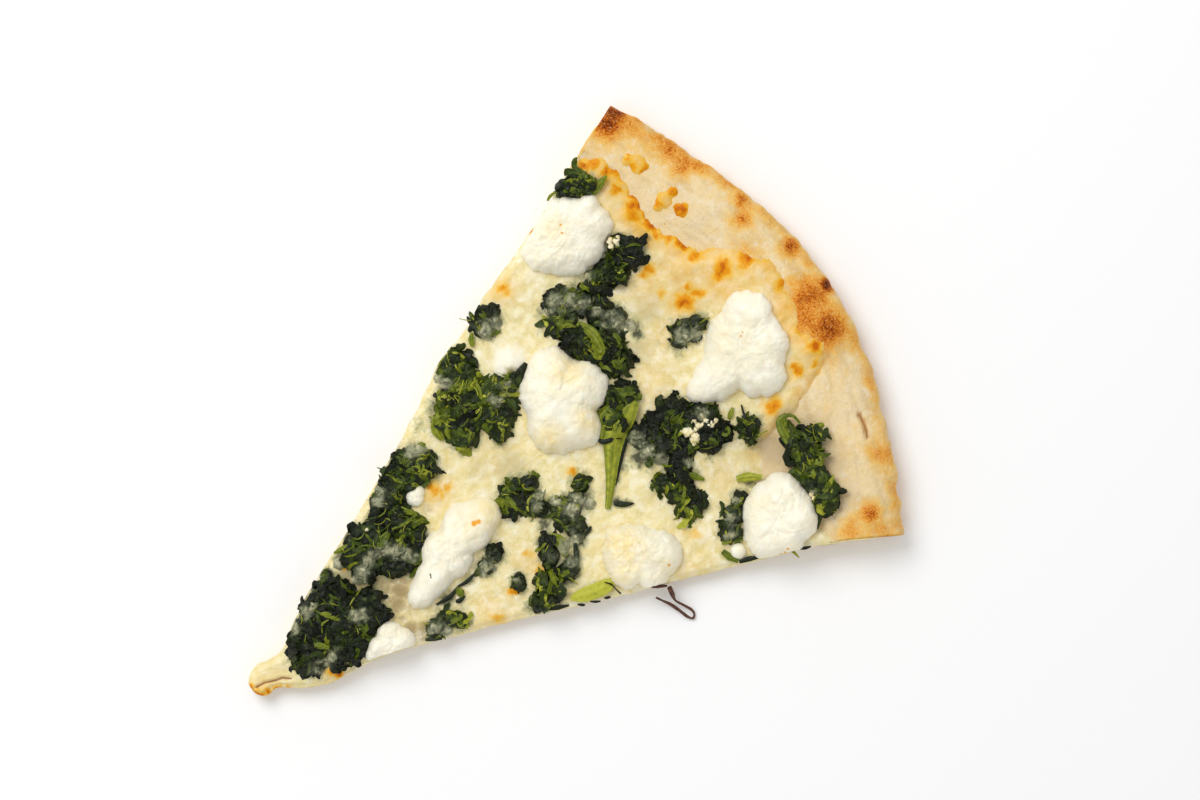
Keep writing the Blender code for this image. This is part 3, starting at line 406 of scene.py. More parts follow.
# The dried strand that hangs out of the lower cut, and its piece that lies on the cut: x, y, z, radius
STRAND = (
    (117.1, -49.5, 5.0, 0.7), (116.6, -51.6, 4.0, 0.75), (116.2, -53.9, 2.6, 0.35), (117.3, -56.4, 1.4, 0.4),
    (118.4, -58.9, 0.8, 0.4), (118.4, -60.5, 0.6, 0.35), (117.3, -61.4, 0.6, 0.35), (116.3, -60.2, 0.7, 0.4),
    (115.4, -57.2, 1.1, 0.5), (114.3, -54.0, 1.8, 0.5), (113.1, -51.8, 2.6, 0.35), (112.0, -49.7, 3.4, 0.3),
)
STRAND_ON_CUT = (
    (112.8, -46.2, 6.4, 0.3), (114.2, -47.0, 6.2, 0.55), (115.6, -47.9, 5.9, 0.5), (116.8, -48.7, 5.4, 0.3),
)
# Colours of leaf by tone; the darkest also colour the few ribbons that paint shade and shadow
LEAF_TONES = (
    (0.0, (12, 18, 4)), (0.22, (27, 38, 8)), (0.42, (56, 72, 8)), (0.6, (94, 108, 14)),
    (0.78, (136, 142, 34)), (1.0, (190, 190, 62)),
)
# Kinds of leaf piece: how common, lengths, half widths, tone and its spread, most lift
LEAF_KINDS = (
    (0.42, (3.4, 7.5), (1.2, 2.6), 0.07, 0.08, 0.5),
    (0.30, (3.4, 7.5), (0.9, 2.2), 0.36, 0.14, 0.7),
    (0.16, (3.0, 6.5), (0.3, 0.7), 0.56, 0.12, 0.8),
    (0.12, (2.5, 6.5), (0.10, 0.20), 0.84, 0.10, 0.9),
)
# Radius of a lobe in which a leaf piece has its full size
ROOM_FOR_LEAF = 4.2
# How much whole patches of leaf differ in tone, and the size of such a patch
PATCH_TONES = 0.42
PATCH_SIZE = 8.0
# Shares of its length where a leaf piece gets its width and height
LEAF_STATIONS = (-0.5, -0.28, 0.0, 0.28, 0.5)
LEAVES_PER_COUNT = 1.7
LEAF_CREASE_ANGLE = 38
# Share of a heap's height that its core has
PILE_SHARE = 0.62
# Tone of each heap's core, which is also added to its leaf pieces: below 0 is darker
HEAP_TONES = (
    -0.07, 0.02, 0.1, 0.21, 0.06, 0.08, 0.02, 0.04, 0.0, 0.03, 0.08, -0.14, 0.12, 0.0, 0.16, 0.08, 0.06,
    0.08, 0.02, 0.1, 0.03, 0.05,
)
# Milky stretches of the leaves without a film of their own: heap, x, y, radius, share
CLOUDS = (
    (17, 108, -13, 7, 0.62), (17, 104, -19, 5, 0.55), (18, 96, -22, 5, 0.5), (18, 98, -28, 5, 0.5),
    (16, 99, -5, 5, 0.5), (7, 143, 37, 8, 0.55), (6, 151, 27, 6, 0.6), (9, 167, 9.5, 6, 0.6),
    (20, 78, -11, 5, 0.6), (19, 54, -19, 5, 0.6), (4, 119, 46, 4, 0.6), (11, 136, -12, 6, 0.6),
    (15, 145, -44, 6, 0.5), (21, 81, -21, 3, 0.5), (3, 112, 28, 5, 0.5), (1, 64, 24, 5, 0.5),
    (2, 80, 28, 5, 0.45), (0, 20, -6, 6, 0.5),
)
# How far a film clouds the leaves round it, in its radii, and how uneven the outline of a cloud is
FILM_REACH = 1.2
FILM_WARP = 1.5
# Thin melted cheese over the heaps: heap, x, y, radius
FILMS = (
    (0, 36, -1, 2.2), (0, 37.8, -2, 2.0), (0, 23.5, -6.4, 2.0), (0, 20.5, -6.6, 1.6), (0, 17, -7.2, 1.6),
    (0, 19, 6.8, 1.8), (0, 24.5, 8.8, 1.8), (0, 27.5, 9.4, 1.4), (0, 41, 14.5, 2.0), (1, 43.5, 7.8, 2.3),
    (1, 46, 8.8, 2.3), (1, 48.8, 10, 2.2), (1, 52, 10.4, 2.2), (1, 55, 9.4, 2.3), (1, 57.6, 7.6, 2.3),
    (1, 59.4, 5.2, 2.0), (1, 60.4, 3, 1.5), (1, 64, 25, 2.2), (1, 61.5, 23, 1.8), (2, 78.5, 28.5, 2.4),
    (2, 81, 28, 1.8), (3, 108.3, 25.5, 2.0), (3, 107.5, 28, 1.4), (3, 114.5, 28.5, 1.2), (3, 99, 39.5, 2.0),
    (3, 98, 42, 1.6), (4, 118, 45.4, 2.8), (4, 121.5, 45.6, 2.2), (4, 117, 44.2, 1.6),
    (6, 151.5, 23.5, 2.4), (6, 154, 21.5, 2.0), (6, 147.5, 26, 1.4), (6, 149, 30.5, 2.2),
    (7, 140.5, 40.5, 2.6), (7, 144, 37.5, 2.4), (7, 147, 34, 2.4), (7, 137, 38.5, 1.8),
    (8, 152.5, 40.2, 1.6), (9, 165, 9, 2.8), (9, 168.5, 7.5, 2.0), (11, 135.5, -12.5, 3.0),
    (11, 138, -16.5, 2.2), (11, 135.5, -7, 2.2), (11, 155.5, -13, 1.8), (11, 144, -23.2, 1.6),
    (14, 168, -52, 1.4), (15, 141.5, -47.5, 2.0), (15, 144, -43.5, 1.8), (15, 148.5, -40.5, 1.4),
    (16, 99.5, -6.5, 2.0), (16, 102, -4, 1.6), (17, 107, -13, 2.6), (17, 110.5, -11.5, 2.2),
    (17, 112.5, -14.5, 2.0), (17, 104.5, -8.5, 1.6), (17, 103, -21, 2.0), (18, 97.5, -25.5, 1.8),
    (18, 99, -21, 2.0), (19, 52.8, -17.8, 2.2), (19, 55.6, -20.8, 1.6), (20, 76, -12.2, 2.6),
    (21, 81, -20.4, 1.0),
)
# Crumbs of ricotta on the spinach: how yellow they are, then heap, x, y, radius
CRUMB_YELLOW = 0.9
CRUMBS = (
    (11, 149, -15, 1.7), (11, 149.8, -17.4, 1.8), (11, 148.6, -18.4, 1.1), (11, 151.6, -15.8, 1.3),
    (11, 153.2, -15.4, 1.3), (11, 152.4, -13.6, 1.0), (11, 155.6, -15.4, 0.9), (11, 156, -17.2, 1.2),
    (11, 157.6, -17, 1.0), (11, 148, -13.6, 0.9), (11, 153.6, -17, 0.8), (8, 164, 45, 1.1),
    (8, 165.2, 43.8, 1.2), (8, 163.4, 43.6, 1.0), (8, 166.3, 44.6, 0.8), (8, 165, 42.8, 0.9),
    (14, 168.4, -51.6, 1.1), (14, 167.6, -53, 0.8), (1, 54, 18, 0.6),
)


def smoothstep(low, high, value):
    share = np.clip((value - low) / (high - low), 0.0, 1.0)
    return share * share * (3 - 2 * share)


def through(points):
    """A smooth function through (x, y) points, which runs on straight past its ends."""
    xs, ys = np.array(points, float).T
    slopes = np.gradient(ys, xs)

    def value(x):
        inside = np.clip(x, xs[0], xs[-1])
        i = np.clip(np.searchsorted(xs, inside) - 1, 0, len(xs) - 2)
        step = xs[i + 1] - xs[i]
        t = (inside - xs[i]) / step
        start = (1 + 2 * t) * (1 - t) ** 2 * ys[i] + t * (1 - t) ** 2 * step * slopes[i]
        end = t * t * (3 - 2 * t) * ys[i + 1] - t * t * (1 - t) * step * slopes[i + 1]
        past = np.where(x > xs[-1], slopes[-1], slopes[0]) * (x - inside)
        return start + end + past

    return value


upper_cut = through(UPPER_CUT)
lower_cut = through(LOWER_CUT)
rim_edge = through(RIM_EDGE)


def ripple(x, y, size, seed, detail=2):
    """Smooth noise between about -1 and 1 over the slice, with bumps of a size in millimetres."""
    x, y = np.broadcast_arrays(x, y)
    places = zip((x / size).ravel().tolist(), (y / size).ravel().tolist())
    values = [noise.fractal((a, b, seed), 1.0, 2.0, detail) for a, b in places]
    return np.array(values).reshape(x.shape)


def warped(x, y, amount, size, seed):
    """Places moved about by smooth noise, so that round spots get uneven outlines."""
    return x + amount * ripple(x, y, size, seed), y + amount * ripple(x, y, size, seed + 1)


def spots(x, y, places):
    """Largest share of round soft spots at each point; a place is x, y, radius and perhaps a share."""
    found = np.zeros_like(x)
    for place_x, place_y, radius, *share in places:
        fall = np.exp(-((x - place_x) ** 2 + (y - place_y) ** 2) / radius**2)
        found = np.maximum(found, fall * (share[0] if share else 1.0))
    return found


def bumps(x, y, places):
    """Sum of round bumps; a place is x, y, radius, height."""
    height = np.zeros_like(x)
    for place_x, place_y, radius, swell in places:
        height += swell * np.exp(-((x - place_x) ** 2 + (y - place_y) ** 2) / radius**2 * 1.6)
    return height


def distance_to_way(x, y, way):
    """Distance to a line through points."""
    nearest = np.full_like(x, 1e9)
    for (ax, ay), (bx, by) in zip(way, way[1:]):
        length = (bx - ax) ** 2 + (by - ay) ** 2
        t = np.clip(((x - ax) * (bx - ax) + (y - ay) * (by - ay)) / length, 0, 1)
        nearest = np.minimum(nearest, np.hypot(x - ax - t * (bx - ax), y - ay - t * (by - ay)))
    return nearest


def across(x, share):
    return lower_cut(x) * (1 - share) + upper_cut(x) * share


def rim_radius(angle):
    return rim_edge(np.clip(angle, -HALF_ANGLE, HALF_ANGLE))


def rim_x(share):
    """x of the outer edge at a share of the slice's width."""
    x = np.full_like(share, RIM_EDGE[0][1])
    for _ in range(12):
        angle = np.arctan2(across(x, share), x)
        x = rim_radius(np.degrees(angle)) * np.cos(angle)
    return x


def from_edge(x, y):
    return rim_radius(np.degrees(np.arctan2(y, x))) - np.hypot(x, y)


def from_cut(x, y):
    """Distance in from the nearer of the two cuts."""
    return np.minimum(upper_cut(x) - y, y - lower_cut(x)) * math.cos(math.radians(HALF_ANGLE))


def dough_form(x, y):
    """Height of the solid's dough."""
    inset = from_edge(x, y)
    rise = smoothstep(RIM_WIDTH, CREST_INSET, inset)
    drop = smoothstep(CREST_INSET, 0.0, inset)
    return BASE_THICKNESS + (RIM_HEIGHT - BASE_THICKNESS) * rise - EDGE_DROP * drop + bumps(x, y, RIM_BUBBLES)


def dough_at(x, y):
    """Height of the solid's dough at one point."""
    return float(dough_form(np.array(x, float), np.array(y, float)))


def dough_surface(x, y):
    """Height of the dough with its dimples, wrinkles and slit."""
    on_rim = smoothstep(50, 30, from_edge(x, y))
    uneven = 0.45 * ripple(x, y, 13, 1) + 0.22 * ripple(x, y, 4.5, 2) + 0.1 * ripple(x, y, 1.8, 3)
    slit = SLIT_DEPTH * smoothstep(SLIT_HALF_WIDTH, 0, distance_to_way(x, y, RIM_SLIT))
    for crease in RIM_CREASES:
        slit = slit + CREASE_DEPTH * smoothstep(CREASE_HALF_WIDTH, 0, distance_to_way(x, y, crease))
    return dough_form(x, y) + bumps(x, y, RIM_DIMPLES) + uneven * (0.25 + 0.75 * on_rim) - slit


def streaks(x, y):
    """Streaks of the dough that run along the rim, between about -1 and 1."""
    angle = np.arctan2(y, x) * 200
    return ripple(from_edge(x, y), angle / 4, 2.2, 28, 3)


def cheese_inset(x, y):
    """Distance in from the cheese's ragged border near the rim, which is negative on the bare dough."""
    share = np.clip((y - lower_cut(x)) / (upper_cut(x) - lower_cut(x)), 0, 1)
    reach = np.interp(share, np.linspace(0, 1, len(CHEESE_REACH)), CHEESE_REACH)
    ragged = 1.8 * ripple(x, y, 7, 4) + 1.0 * ripple(x, y, 2.6, 5)
    return reach - x + ragged


def cheese_cover(x, y):
    """Thickness of the cheese: it fades towards the rim, and there are islands past its border."""
    main = CHEESE_LIP * smoothstep(0, 1.2, cheese_inset(x, y))
    main += (CHEESE_THICKNESS - CHEESE_LIP) * smoothstep(0, CHEESE_FADE, cheese_inset(x, y))
    ragged = 0.8 * ripple(x, y, 3, 6)
    for island_x, island_y, radius in CHEESE_ISLANDS:
        inward = radius - np.hypot(x - island_x, y - island_y) + ragged
        main = np.maximum(main, 0.6 * smoothstep(0, 2.5, inward))
    return main


def cheese_surface(x, y):
    """Height of the melted cheese, which dives under the dough where there is none."""
    cover = cheese_cover(x, y)
    there = smoothstep(0.0, 0.3, cover)
    uneven = 0.36 * ripple(x, y, 9, 7) + 0.3 * ripple(x, y, 3.4, 8) + 0.12 * ripple(x, y, 1.3, 9)
    lumps = bumps(x, y, CHEESE_LUMPS) - 0.4 * spots(x, y, WET_DOUGH)
    lumps -= TIP_FOLD_DEPTH * smoothstep(0.9, 0.0, distance_to_way(x, y, TIP_FOLD))
    edge = 1.1 * (1 - smoothstep(0, 1.8, from_cut(x, y)))
    return dough_surface(x, y) - CHEESE_DIVE * (1 - there) + there * (cover + 0.25 + uneven + lumps - edge)


def quads(rows, columns, start=0, ring=False):
    """Faces over a grid of points that are numbered row by row; in a ring the last column joins the first."""
    column = np.arange(columns if ring else columns - 1)
    following = (column + 1) % columns
    row = np.arange(rows - 1)[:, None] * columns + start
    corners = (row + column, row + columns + column, row + columns + following, row + following)
    return np.stack(corners, -1).reshape(-1, 4)


def border_of(rows, columns):
    """Numbers of the points round a grid, in order."""
    grid = np.arange(rows * columns).reshape(rows, columns)
    return np.concatenate([grid[0], grid[1:-1, -1], grid[-1][::-1], grid[1:-1, 0][::-1]])


def skirt(loops):
    """Faces between closed loops of point numbers, from each loop to the next."""
    loops = np.array([np.append(loop, loop[0]) for loop in loops])
    return np.stack([loops[:-1, :-1], loops[:-1, 1:], loops[1:, 1:], loops[1:, :-1]], -1).reshape(-1, 4)


def fan(middle, ring, turned=False):
    """Triangles from one point to each step of a closed ring, by number; turned ones face the other way."""
    following = np.roll(ring, -1)
    corners = (following, ring) if turned else (ring, following)
    return np.stack([np.full(len(ring), middle), *corners], 1)


def circle(turns):
    """Evenly spaced angles once round."""
    return np.arange(turns) * 2 * math.pi / turns


def along_way(way, count):
    """The columns of a way, each at evenly spaced places on its smooth line."""
    way = np.array(way, float)
    given, wanted = np.linspace(0, 1, len(way)), np.linspace(0, 1, count)
    return [through(np.stack([given, column], 1))(wanted) for column in way.T]


def mesh_piece(name, points, faces, finish, marks, crease_angle=180):
    """An object from points in millimetres on the slice, with named values at its points for its material.

    Edges that bend by more than the crease angle, in degrees, look sharp.
    """
    mesh = bpy.data.meshes.new(name)
    places = (np.asarray(points, float) - (TIP_TO_ORIGIN, 0, 0)) * MM
    mesh.from_pydata(places.tolist(), [], [face for group in faces for face in group.tolist()])
    for key, values in marks.items():
        mark = mesh.attributes.new(key, "FLOAT", "POINT")
        mark.data.foreach_set("value", np.asarray(values, np.float32).ravel())
    mesh.materials.append(finish)
    mesh.validate()
    mesh.shade_smooth()
    if crease_angle < 180:
        mesh.set_sharp_from_angle(angle=math.radians(crease_angle))
    piece = bpy.data.objects.new(name, mesh)
    bpy.context.scene.collection.objects.link(piece)
    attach(piece, "root")
    return piece


def colour(red, green, blue):
    """An 8-bit colour as the linear values that shaders take."""
    shares = np.array((red, green, blue)) / 255
    linear = np.where(shares <= 0.04045, shares / 12.92, ((shares + 0.055) / 1.055) ** 2.4)
    return (*linear.tolist(), 1.0)


class Shader:
    """A material under construction: each call adds a node and returns its output."""

    def __init__(self, name):
        self.material = bpy.data.materials.new(name)
        self.material.use_nodes = True
        self.tree = self.material.node_tree
        self.surface = self.tree.nodes["Principled BSDF"]

    def link(self, value, socket):
        if isinstance(value, bpy.types.NodeSocket):
            self.tree.links.new(value, socket)
        else:
            socket.default_value = value

    def place(self):
        return self.tree.nodes.new("ShaderNodeTexCoord").outputs["Object"]

    def mark(self, name):
        node = self.tree.nodes.new("ShaderNodeAttribute")
        node.attribute_name = name
        return node.outputs["Fac"]

    def grain(self, size, detail, roughness=0.55, distortion=0.0):
        """Noise from 0 to 1 with bumps of a size in millimetres."""
        node = self.tree.nodes.new("ShaderNodeTexNoise")
        node.inputs["Scale"].default_value = 1 / (size * MM)
        node.inputs["Detail"].default_value = detail
        node.inputs["Roughness"].default_value = roughness
        node.inputs["Distortion"].default_value = distortion
        self.link(self.place(), node.inputs["Vector"])
        return node.outputs["Fac"]

    def cells(self, size):
        node = self.tree.nodes.new("ShaderNodeTexVoronoi")
        node.inputs["Scale"].default_value = 1 / (size * MM)
        self.link(self.place(), node.inputs["Vector"])
        return node.outputs["Distance"]

    def math(self, operation, a, b):
        node = self.tree.nodes.new("ShaderNodeMath")
        node.operation = operation
        self.link(a, node.inputs[0])
        self.link(b, node.inputs[1])
        return node.outputs[0]

    def times(self, a, b):
        return self.math("MULTIPLY", a, b)

    def steps(self, value, low, high, to_low=0.0, to_high=1.0):
        """value from low to high, mapped smoothly to other limits."""
        node = self.tree.nodes.new("ShaderNodeMapRange")
        node.interpolation_type = "SMOOTHSTEP"
        self.link(value, node.inputs["Value"])
        for socket, number in zip(("From Min", "From Max", "To Min", "To Max"), (low, high, to_low, to_high)):
            self.link(number, node.inputs[socket])
        return node.outputs["Result"]

    def shifted(self, value, grain, amount):
        """value moved up and down by a grain from 0 to 1, so that a threshold on it gets an uneven edge."""
        return self.math("ADD", value, self.times(self.math("SUBTRACT", grain, 0.5), amount))

    def ramp(self, value, stops):
        """8-bit colours by value; a stop is a position and a colour."""
        node = self.tree.nodes.new("ShaderNodeValToRGB")
        elements = node.color_ramp.elements
        while len(elements) < len(stops):
            elements.new(0.5)
        for element, (position, shade) in zip(elements, stops):
            element.position = position
            element.color = colour(*shade)
        self.link(value, node.inputs["Fac"])
        return node.outputs["Color"]

    def mix(self, share, a, b):
        node = self.tree.nodes.new("ShaderNodeMix")
        node.data_type = "RGBA"
        self.link(share, node.inputs[0])
        self.link(a, node.inputs[6])
        self.link(b, node.inputs[7])
        return node.outputs[2]

    def tint(self, base, share, shade):
        """base with a share of an 8-bit colour over it."""
        return self.mix(share, base, colour(*shade))

    def layer(self, base, value, low, high, most, shade):
        """base with an 8-bit colour over it that comes in from low to high value, at most to a share."""
        return self.tint(base, self.steps(value, low, high, 0.0, most), shade)

    def bump(self, height, distance, strength, under=None):
        node = self.tree.nodes.new("ShaderNodeBump")
        node.inputs["Distance"].default_value = distance * MM
        node.inputs["Strength"].default_value = strength
        self.link(height, node.inputs["Height"])
        if under is not None:
            self.link(under, node.inputs["Normal"])
        return node.outputs["Normal"]

    def finish(self, base, rough, normal=None, shine=None, soft=(None, None, None)):
        """The material; soft is how much light goes in, the reach of red, green and blue, and its unit."""
        sockets = ("Base Color", "Roughness", "Normal", "Specular IOR Level")
        softness = ("Subsurface Weight", "Subsurface Radius", "Subsurface Scale")
        for name, value in zip(sockets + softness, (base, rough, normal, shine, *soft)):
            if value is not None:
                self.link(value, self.surface.inputs[name])
        return self.material


def crust_finish():
    """Baked dough: pale and floury, golden to brown where it is marked as baked, with fine speckle."""
    s = Shader("baked_dough")
    baked = s.shifted(s.mark("baked"), s.grain(5, 4, 0.6), 0.45)
    baked = s.shifted(baked, s.grain(1.6, 3, 0.6), 0.2)
    baked = s.shifted(baked, s.grain(0.55, 2, 0.6), s.steps(baked, 0.2, 0.7, 0.1, 0.7))
    tones = s.ramp(baked, BAKED_TONES)
    salt = s.times(s.steps(s.grain(0.6, 2, 0.6), 0.56, 0.68), s.steps(baked, 0.35, 0.6, 0.0, 0.5))
    tones = s.tint(tones, salt, (238, 186, 118))
    pale = s.steps(baked, 0.6, 0.35)
    mottle = s.times(s.steps(s.grain(1.3, 5, 0.7), 0.5, 0.3, 0.0, 0.35), pale)
    tones = s.tint(tones, mottle, (204, 176, 132))
    streak = s.times(s.steps(s.mark("streak"), 0.0, 0.5, 0.0, 0.35), pale)
    tones = s.tint(tones, streak, (206, 178, 132))
    flour = s.times(s.steps(s.grain(3, 5, 0.7), 0.52, 0.7), s.steps(baked, 0.5, 0.2, 0.0, 0.6))
    tones = s.tint(tones, flour, (243, 230, 205))
    damp = s.shifted(s.mark("damp"), s.grain(2.6, 4, 0.6), 0.5)
    tones = s.layer(tones, damp, 0.15, 0.9, 0.75, (192, 170, 132))
    tones = s.tint(tones, s.mark("crumb"), (234, 212, 168))
    tones = s.tint(tones, s.mark("slit"), (176, 120, 62))
    low = s.bump(s.grain(2.2, 5, 0.65), 0.7, 0.7)
    pores = s.bump(s.cells(0.8), 0.12, 0.5, low)
    rough, shine = s.steps(baked, 0.2, 0.8, 0.85, 0.6), s.steps(baked, 0.3, 0.7, 0.25, 0.06)
    return s.finish(tones, rough, pores, shine, (0.06, (1.0, 0.6, 0.3), 1.0 * MM))


def cheese_finish():
    """Melted cheese: pale yellow and grainy, with golden stretches, browned spots and veiled spinach."""
    s = Shader("melted_cheese")
    fine = s.grain(0.9, 4, 0.65)
    curds = s.grain(3.2, 5, 0.6, 0.4)
    broad = s.grain(11, 3)
    base = s.ramp(curds, ((0.34, (228, 211, 142)), (0.5, (240, 226, 172)), (0.63, (249, 242, 210))))
    base = s.layer(base, broad, 0.35, 0.65, 0.35, (238, 219, 152))
    base = s.layer(base, fine, 0.5, 0.7, 0.45, (251, 245, 218))
    dull = s.shifted(s.mark("dull"), s.grain(2.2, 4, 0.6), 0.5)
    base = s.layer(base, dull, 0.1, 0.9, 0.6, (192, 178, 128))
    white = s.shifted(s.mark("white"), s.grain(3, 4, 0.6), 0.4)
    base = s.layer(base, white, 0.2, 0.75, 0.9, (251, 245, 226))
    gold = s.times(s.mark("gold"), s.steps(s.grain(4, 4, 0.6), 0.25, 0.65, 0.5, 1.0))
    base = s.tint(base, gold, (232, 172, 44))
    wet = s.shifted(s.shifted(s.mark("wet"), s.grain(2.5, 4), 0.6), fine, 0.6)
    bare = s.mix(fine, colour(132, 108, 62), colour(194, 172, 122))
    base = s.mix(s.steps(wet, 0.15, 0.7, 0.0, 0.95), base, bare)
    veil = s.shifted(s.mark("veiled"), s.grain(1.8, 4, 0.6, 0.6), 1.1)
    base = s.layer(base, veil, 0.3, 0.62, 0.8, (186, 182, 132))
    base = s.layer(base, veil, 0.55, 0.95, 0.92, (54, 60, 38))
    browned = s.shifted(s.mark("browned"), s.grain(2.8, 4, 0.6, 0.4), 0.7)
    browned = s.shifted(browned, s.grain(0.9, 3, 0.6), 0.45)
    base = s.layer(base, browned, 0.05, 0.45, 0.8, (238, 186, 44))
    base = s.layer(base, browned, 0.35, 0.68, 0.95, (230, 150, 8))
    base = s.layer(base, browned, 0.66, 1.0, 0.9, (192, 92, 0))
    base = s.layer(base, s.mark("fold"), 0.3, 0.9, 0.8, (146, 84, 40))
    lumps = s.bump(curds, 0.6, 0.5, s.bump(fine, 0.3, 0.7))
    rough, shine = s.steps(broad, 0.3, 0.7, 0.32, 0.48), s.steps(browned, 0.3, 0.6, 0.4, 0.12)
    return s.finish(base, rough, lumps, shine, (0.12, (1.0, 0.75, 0.4), 1.2 * MM))


def film_finish():
    """Cheese melted thin over dark leaf: greyish and moist, paler where it is thick."""
    s = Shader("cheese_film")
    thick = s.grain(2.6, 3, 0.5, 0.5)
    base = s.ramp(thick, ((0.3, (96, 102, 78)), (0.5, (150, 150, 118)), (0.7, (206, 200, 162))))
    lumps = s.bump(s.grain(1.3, 4, 0.6), 0.35, 0.6)
    return s.finish(base, 0.3, lumps, soft=(0.2, (1.0, 0.8, 0.5), 1.2 * MM))


def ricotta_finish():
    """Fresh white cheese: matte curd with soft lumps, yellower where it melted."""
    s = Shader("ricotta_curd")
    base = s.mix(s.steps(s.grain(4, 3), 0.3, 0.7), colour(253, 247, 228), colour(249, 240, 214))
    yellow = s.times(s.mark("yellow"), s.steps(s.grain(2.5, 4), 0.3, 0.6, 0.35, 1.0))
    base = s.tint(base, yellow, (247, 226, 166))
    base = s.layer(base, s.mark("speck"), 0.2, 0.65, 1.0, (240, 166, 6))
    base = s.layer(base, s.mark("fleck"), 0.35, 0.7, 1.0, (40, 52, 22))
    lumps = s.bump(s.grain(3.0, 4, 0.6), 0.6, 0.5, s.bump(s.grain(0.9, 4, 0.6), 0.3, 0.6))
    rough = s.steps(s.mark("yellow"), 0.0, 1.0, 0.55, 0.38)
    return s.finish(base, rough, lumps, soft=(0.3, (1.0, 0.8, 0.6), 2.0 * MM))


def spinach_finish(name="cooked_spinach"):
    """Cooked leaf: nearly black in its folds, green on its ridges, pale in its stems, and moist."""
    s = Shader(name)
    base = s.ramp(s.shifted(s.mark("tone"), s.grain(1.6, 4, 0.6), 0.5), LEAF_TONES)
    film = s.shifted(s.mark("film"), s.grain(2.4, 4, 0.6, 0.5), 1.0)
    cloudy = s.ramp(s.grain(2.0, 3, 0.5), ((0.35, (104, 110, 84)), (0.65, (184, 182, 146))))
    base = s.layer(base, film, 0.1, 0.7, 0.4, (84, 92, 66))
    base = s.mix(s.steps(film, 0.4, 0.85, 0.0, 0.9), base, cloudy)
    veins = s.bump(s.grain(0.7, 3, 0.6), 0.25, 0.7)
    crinkle = s.bump(s.grain(1.8, 4, 0.6, 0.5), 0.7, 0.8, veins)
    rough = s.steps(s.grain(1.2, 2), 0.3, 0.7, 0.22, 0.5)
    return s.finish(base, rough, crinkle, 0.25)


def strand_finish():
    s = Shader("dried_stem")
    base = s.ramp(s.grain(1.0, 3), ((0.3, (58, 30, 18)), (0.7, (104, 60, 36))))
    return s.finish(base, 0.6, s.bump(s.grain(0.5, 3), 0.15, 0.6))


def crust_baking(x, y):
    """How well baked the dough's upper face is, from 0 to 1."""
    inset = from_edge(x, y)
    wide = EDGE_BAND_WIDTH + EDGE_BAND_WIDER * smoothstep(38, 55, y) + 0.9 * ripple(x, y, 6, 21)
    strength = 0.3 + 0.12 * smoothstep(32, 52, y) + 0.22 * ripple(x, y, 9, 27)
    band = strength * smoothstep(wide * 1.9, 0.3 * wide, inset)
    corner = 0.32 * smoothstep(3.5, 0, y - lower_cut(x)) * smoothstep(158, 170, x)
    return np.clip(0.14 + np.maximum.reduce([band, spots(x, y, RIM_SPOTS), corner]), 0, 1)


def make_crust():
    """The dough as one closed skin: top, underside, and a side whose cut faces show the crumb."""
    columns, rows = CRUST_GRID
    steps = np.interp(np.linspace(0, 1, columns), (0, 0.5, 1), (0, 0.7, 1))
    shares = np.linspace(0, 1, rows)
    wear = EDGE_WEAR * np.clip(0.45 + ripple(shares * 150, 0 * shares, 6, 26, 3), 0, 1)
    ends = rim_x(shares) - SIDE_BULGE - wear
    x = NOSE_X + steps[:, None] * (ends - NOSE_X)
    y = across(x, shares)
    x, y = x.ravel(), y.ravel()
    high = dough_surface(x, y)
    bottom = np.zeros_like(x)
    border = border_of(columns, rows)
    outer = np.isin(border, np.arange((columns - 1) * rows, columns * rows))
    share_of = np.tile(shares, columns)[border]
    points = [np.stack([x, y, high], 1), np.stack([x, y, bottom], 1)]
    baked = [crust_baking(x, y), np.clip(0.42 + 0.25 * ripple(x, y, 14, 22), 0, 1)]
    crumb = [np.zeros_like(x), np.zeros_like(x)]
    loops = [border + len(x)]
    count = 2 * len(x)
    inward = np.where(y[border] > 0, -1.0, 1.0) * ~outer
    for level in np.linspace(0, 1, SIDE_RINGS + 2)[1:-1]:
        out = x[border] + outer * SIDE_BULGE * 2 * math.sqrt(level * (1 - level))
        side_y = across(out, share_of)
        z = high[border] * level
        rough = 0.4 + 0.8 * ripple(out, z, 2.4, 23) + 0.4 * ripple(out, z, 0.9, 24)
        side_y = side_y + inward * np.clip(rough, 0, 1.5)
        points.append(np.stack([out, side_y, z], 1))
        tan = 0.2 + 0.28 * (1 - level) + 0.15 * ripple(out, side_y, 9, 25)
        from_top = crust_baking(out, side_y) * (0.3 + 0.7 * level)
        baked.append(np.where(outer, np.maximum(tan, from_top), 0.3 * (level < 0.2) + 0.16))
        crumb.append(np.where(outer, 0.0, smoothstep(0.02, 0.2, level) * smoothstep(1.0, 0.93, level)))
        loops.append(np.arange(count, count + len(border)))
        count += len(border)
    loops.append(border)
    faces = [quads(columns, rows), quads(columns, rows, len(x))[:, ::-1], skirt(loops)[:, ::-1]]
    points = np.concatenate(points)
    px, py = points[:, 0], points[:, 1]
    marks = {
        "baked": np.concatenate(baked),
        "crumb": np.concatenate(crumb) * 0.85,
        "slit": smoothstep(SLIT_HALF_WIDTH, 0.2, distance_to_way(px, py, RIM_SLIT)) * (points[:, 2] > 6),
        "damp": spots(px, py, DAMP_DOUGH),
        "streak": streaks(px, py),
    }
    crust = mesh_piece("baked_crust", points, faces, crust_finish(), marks)
    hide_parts("crust")


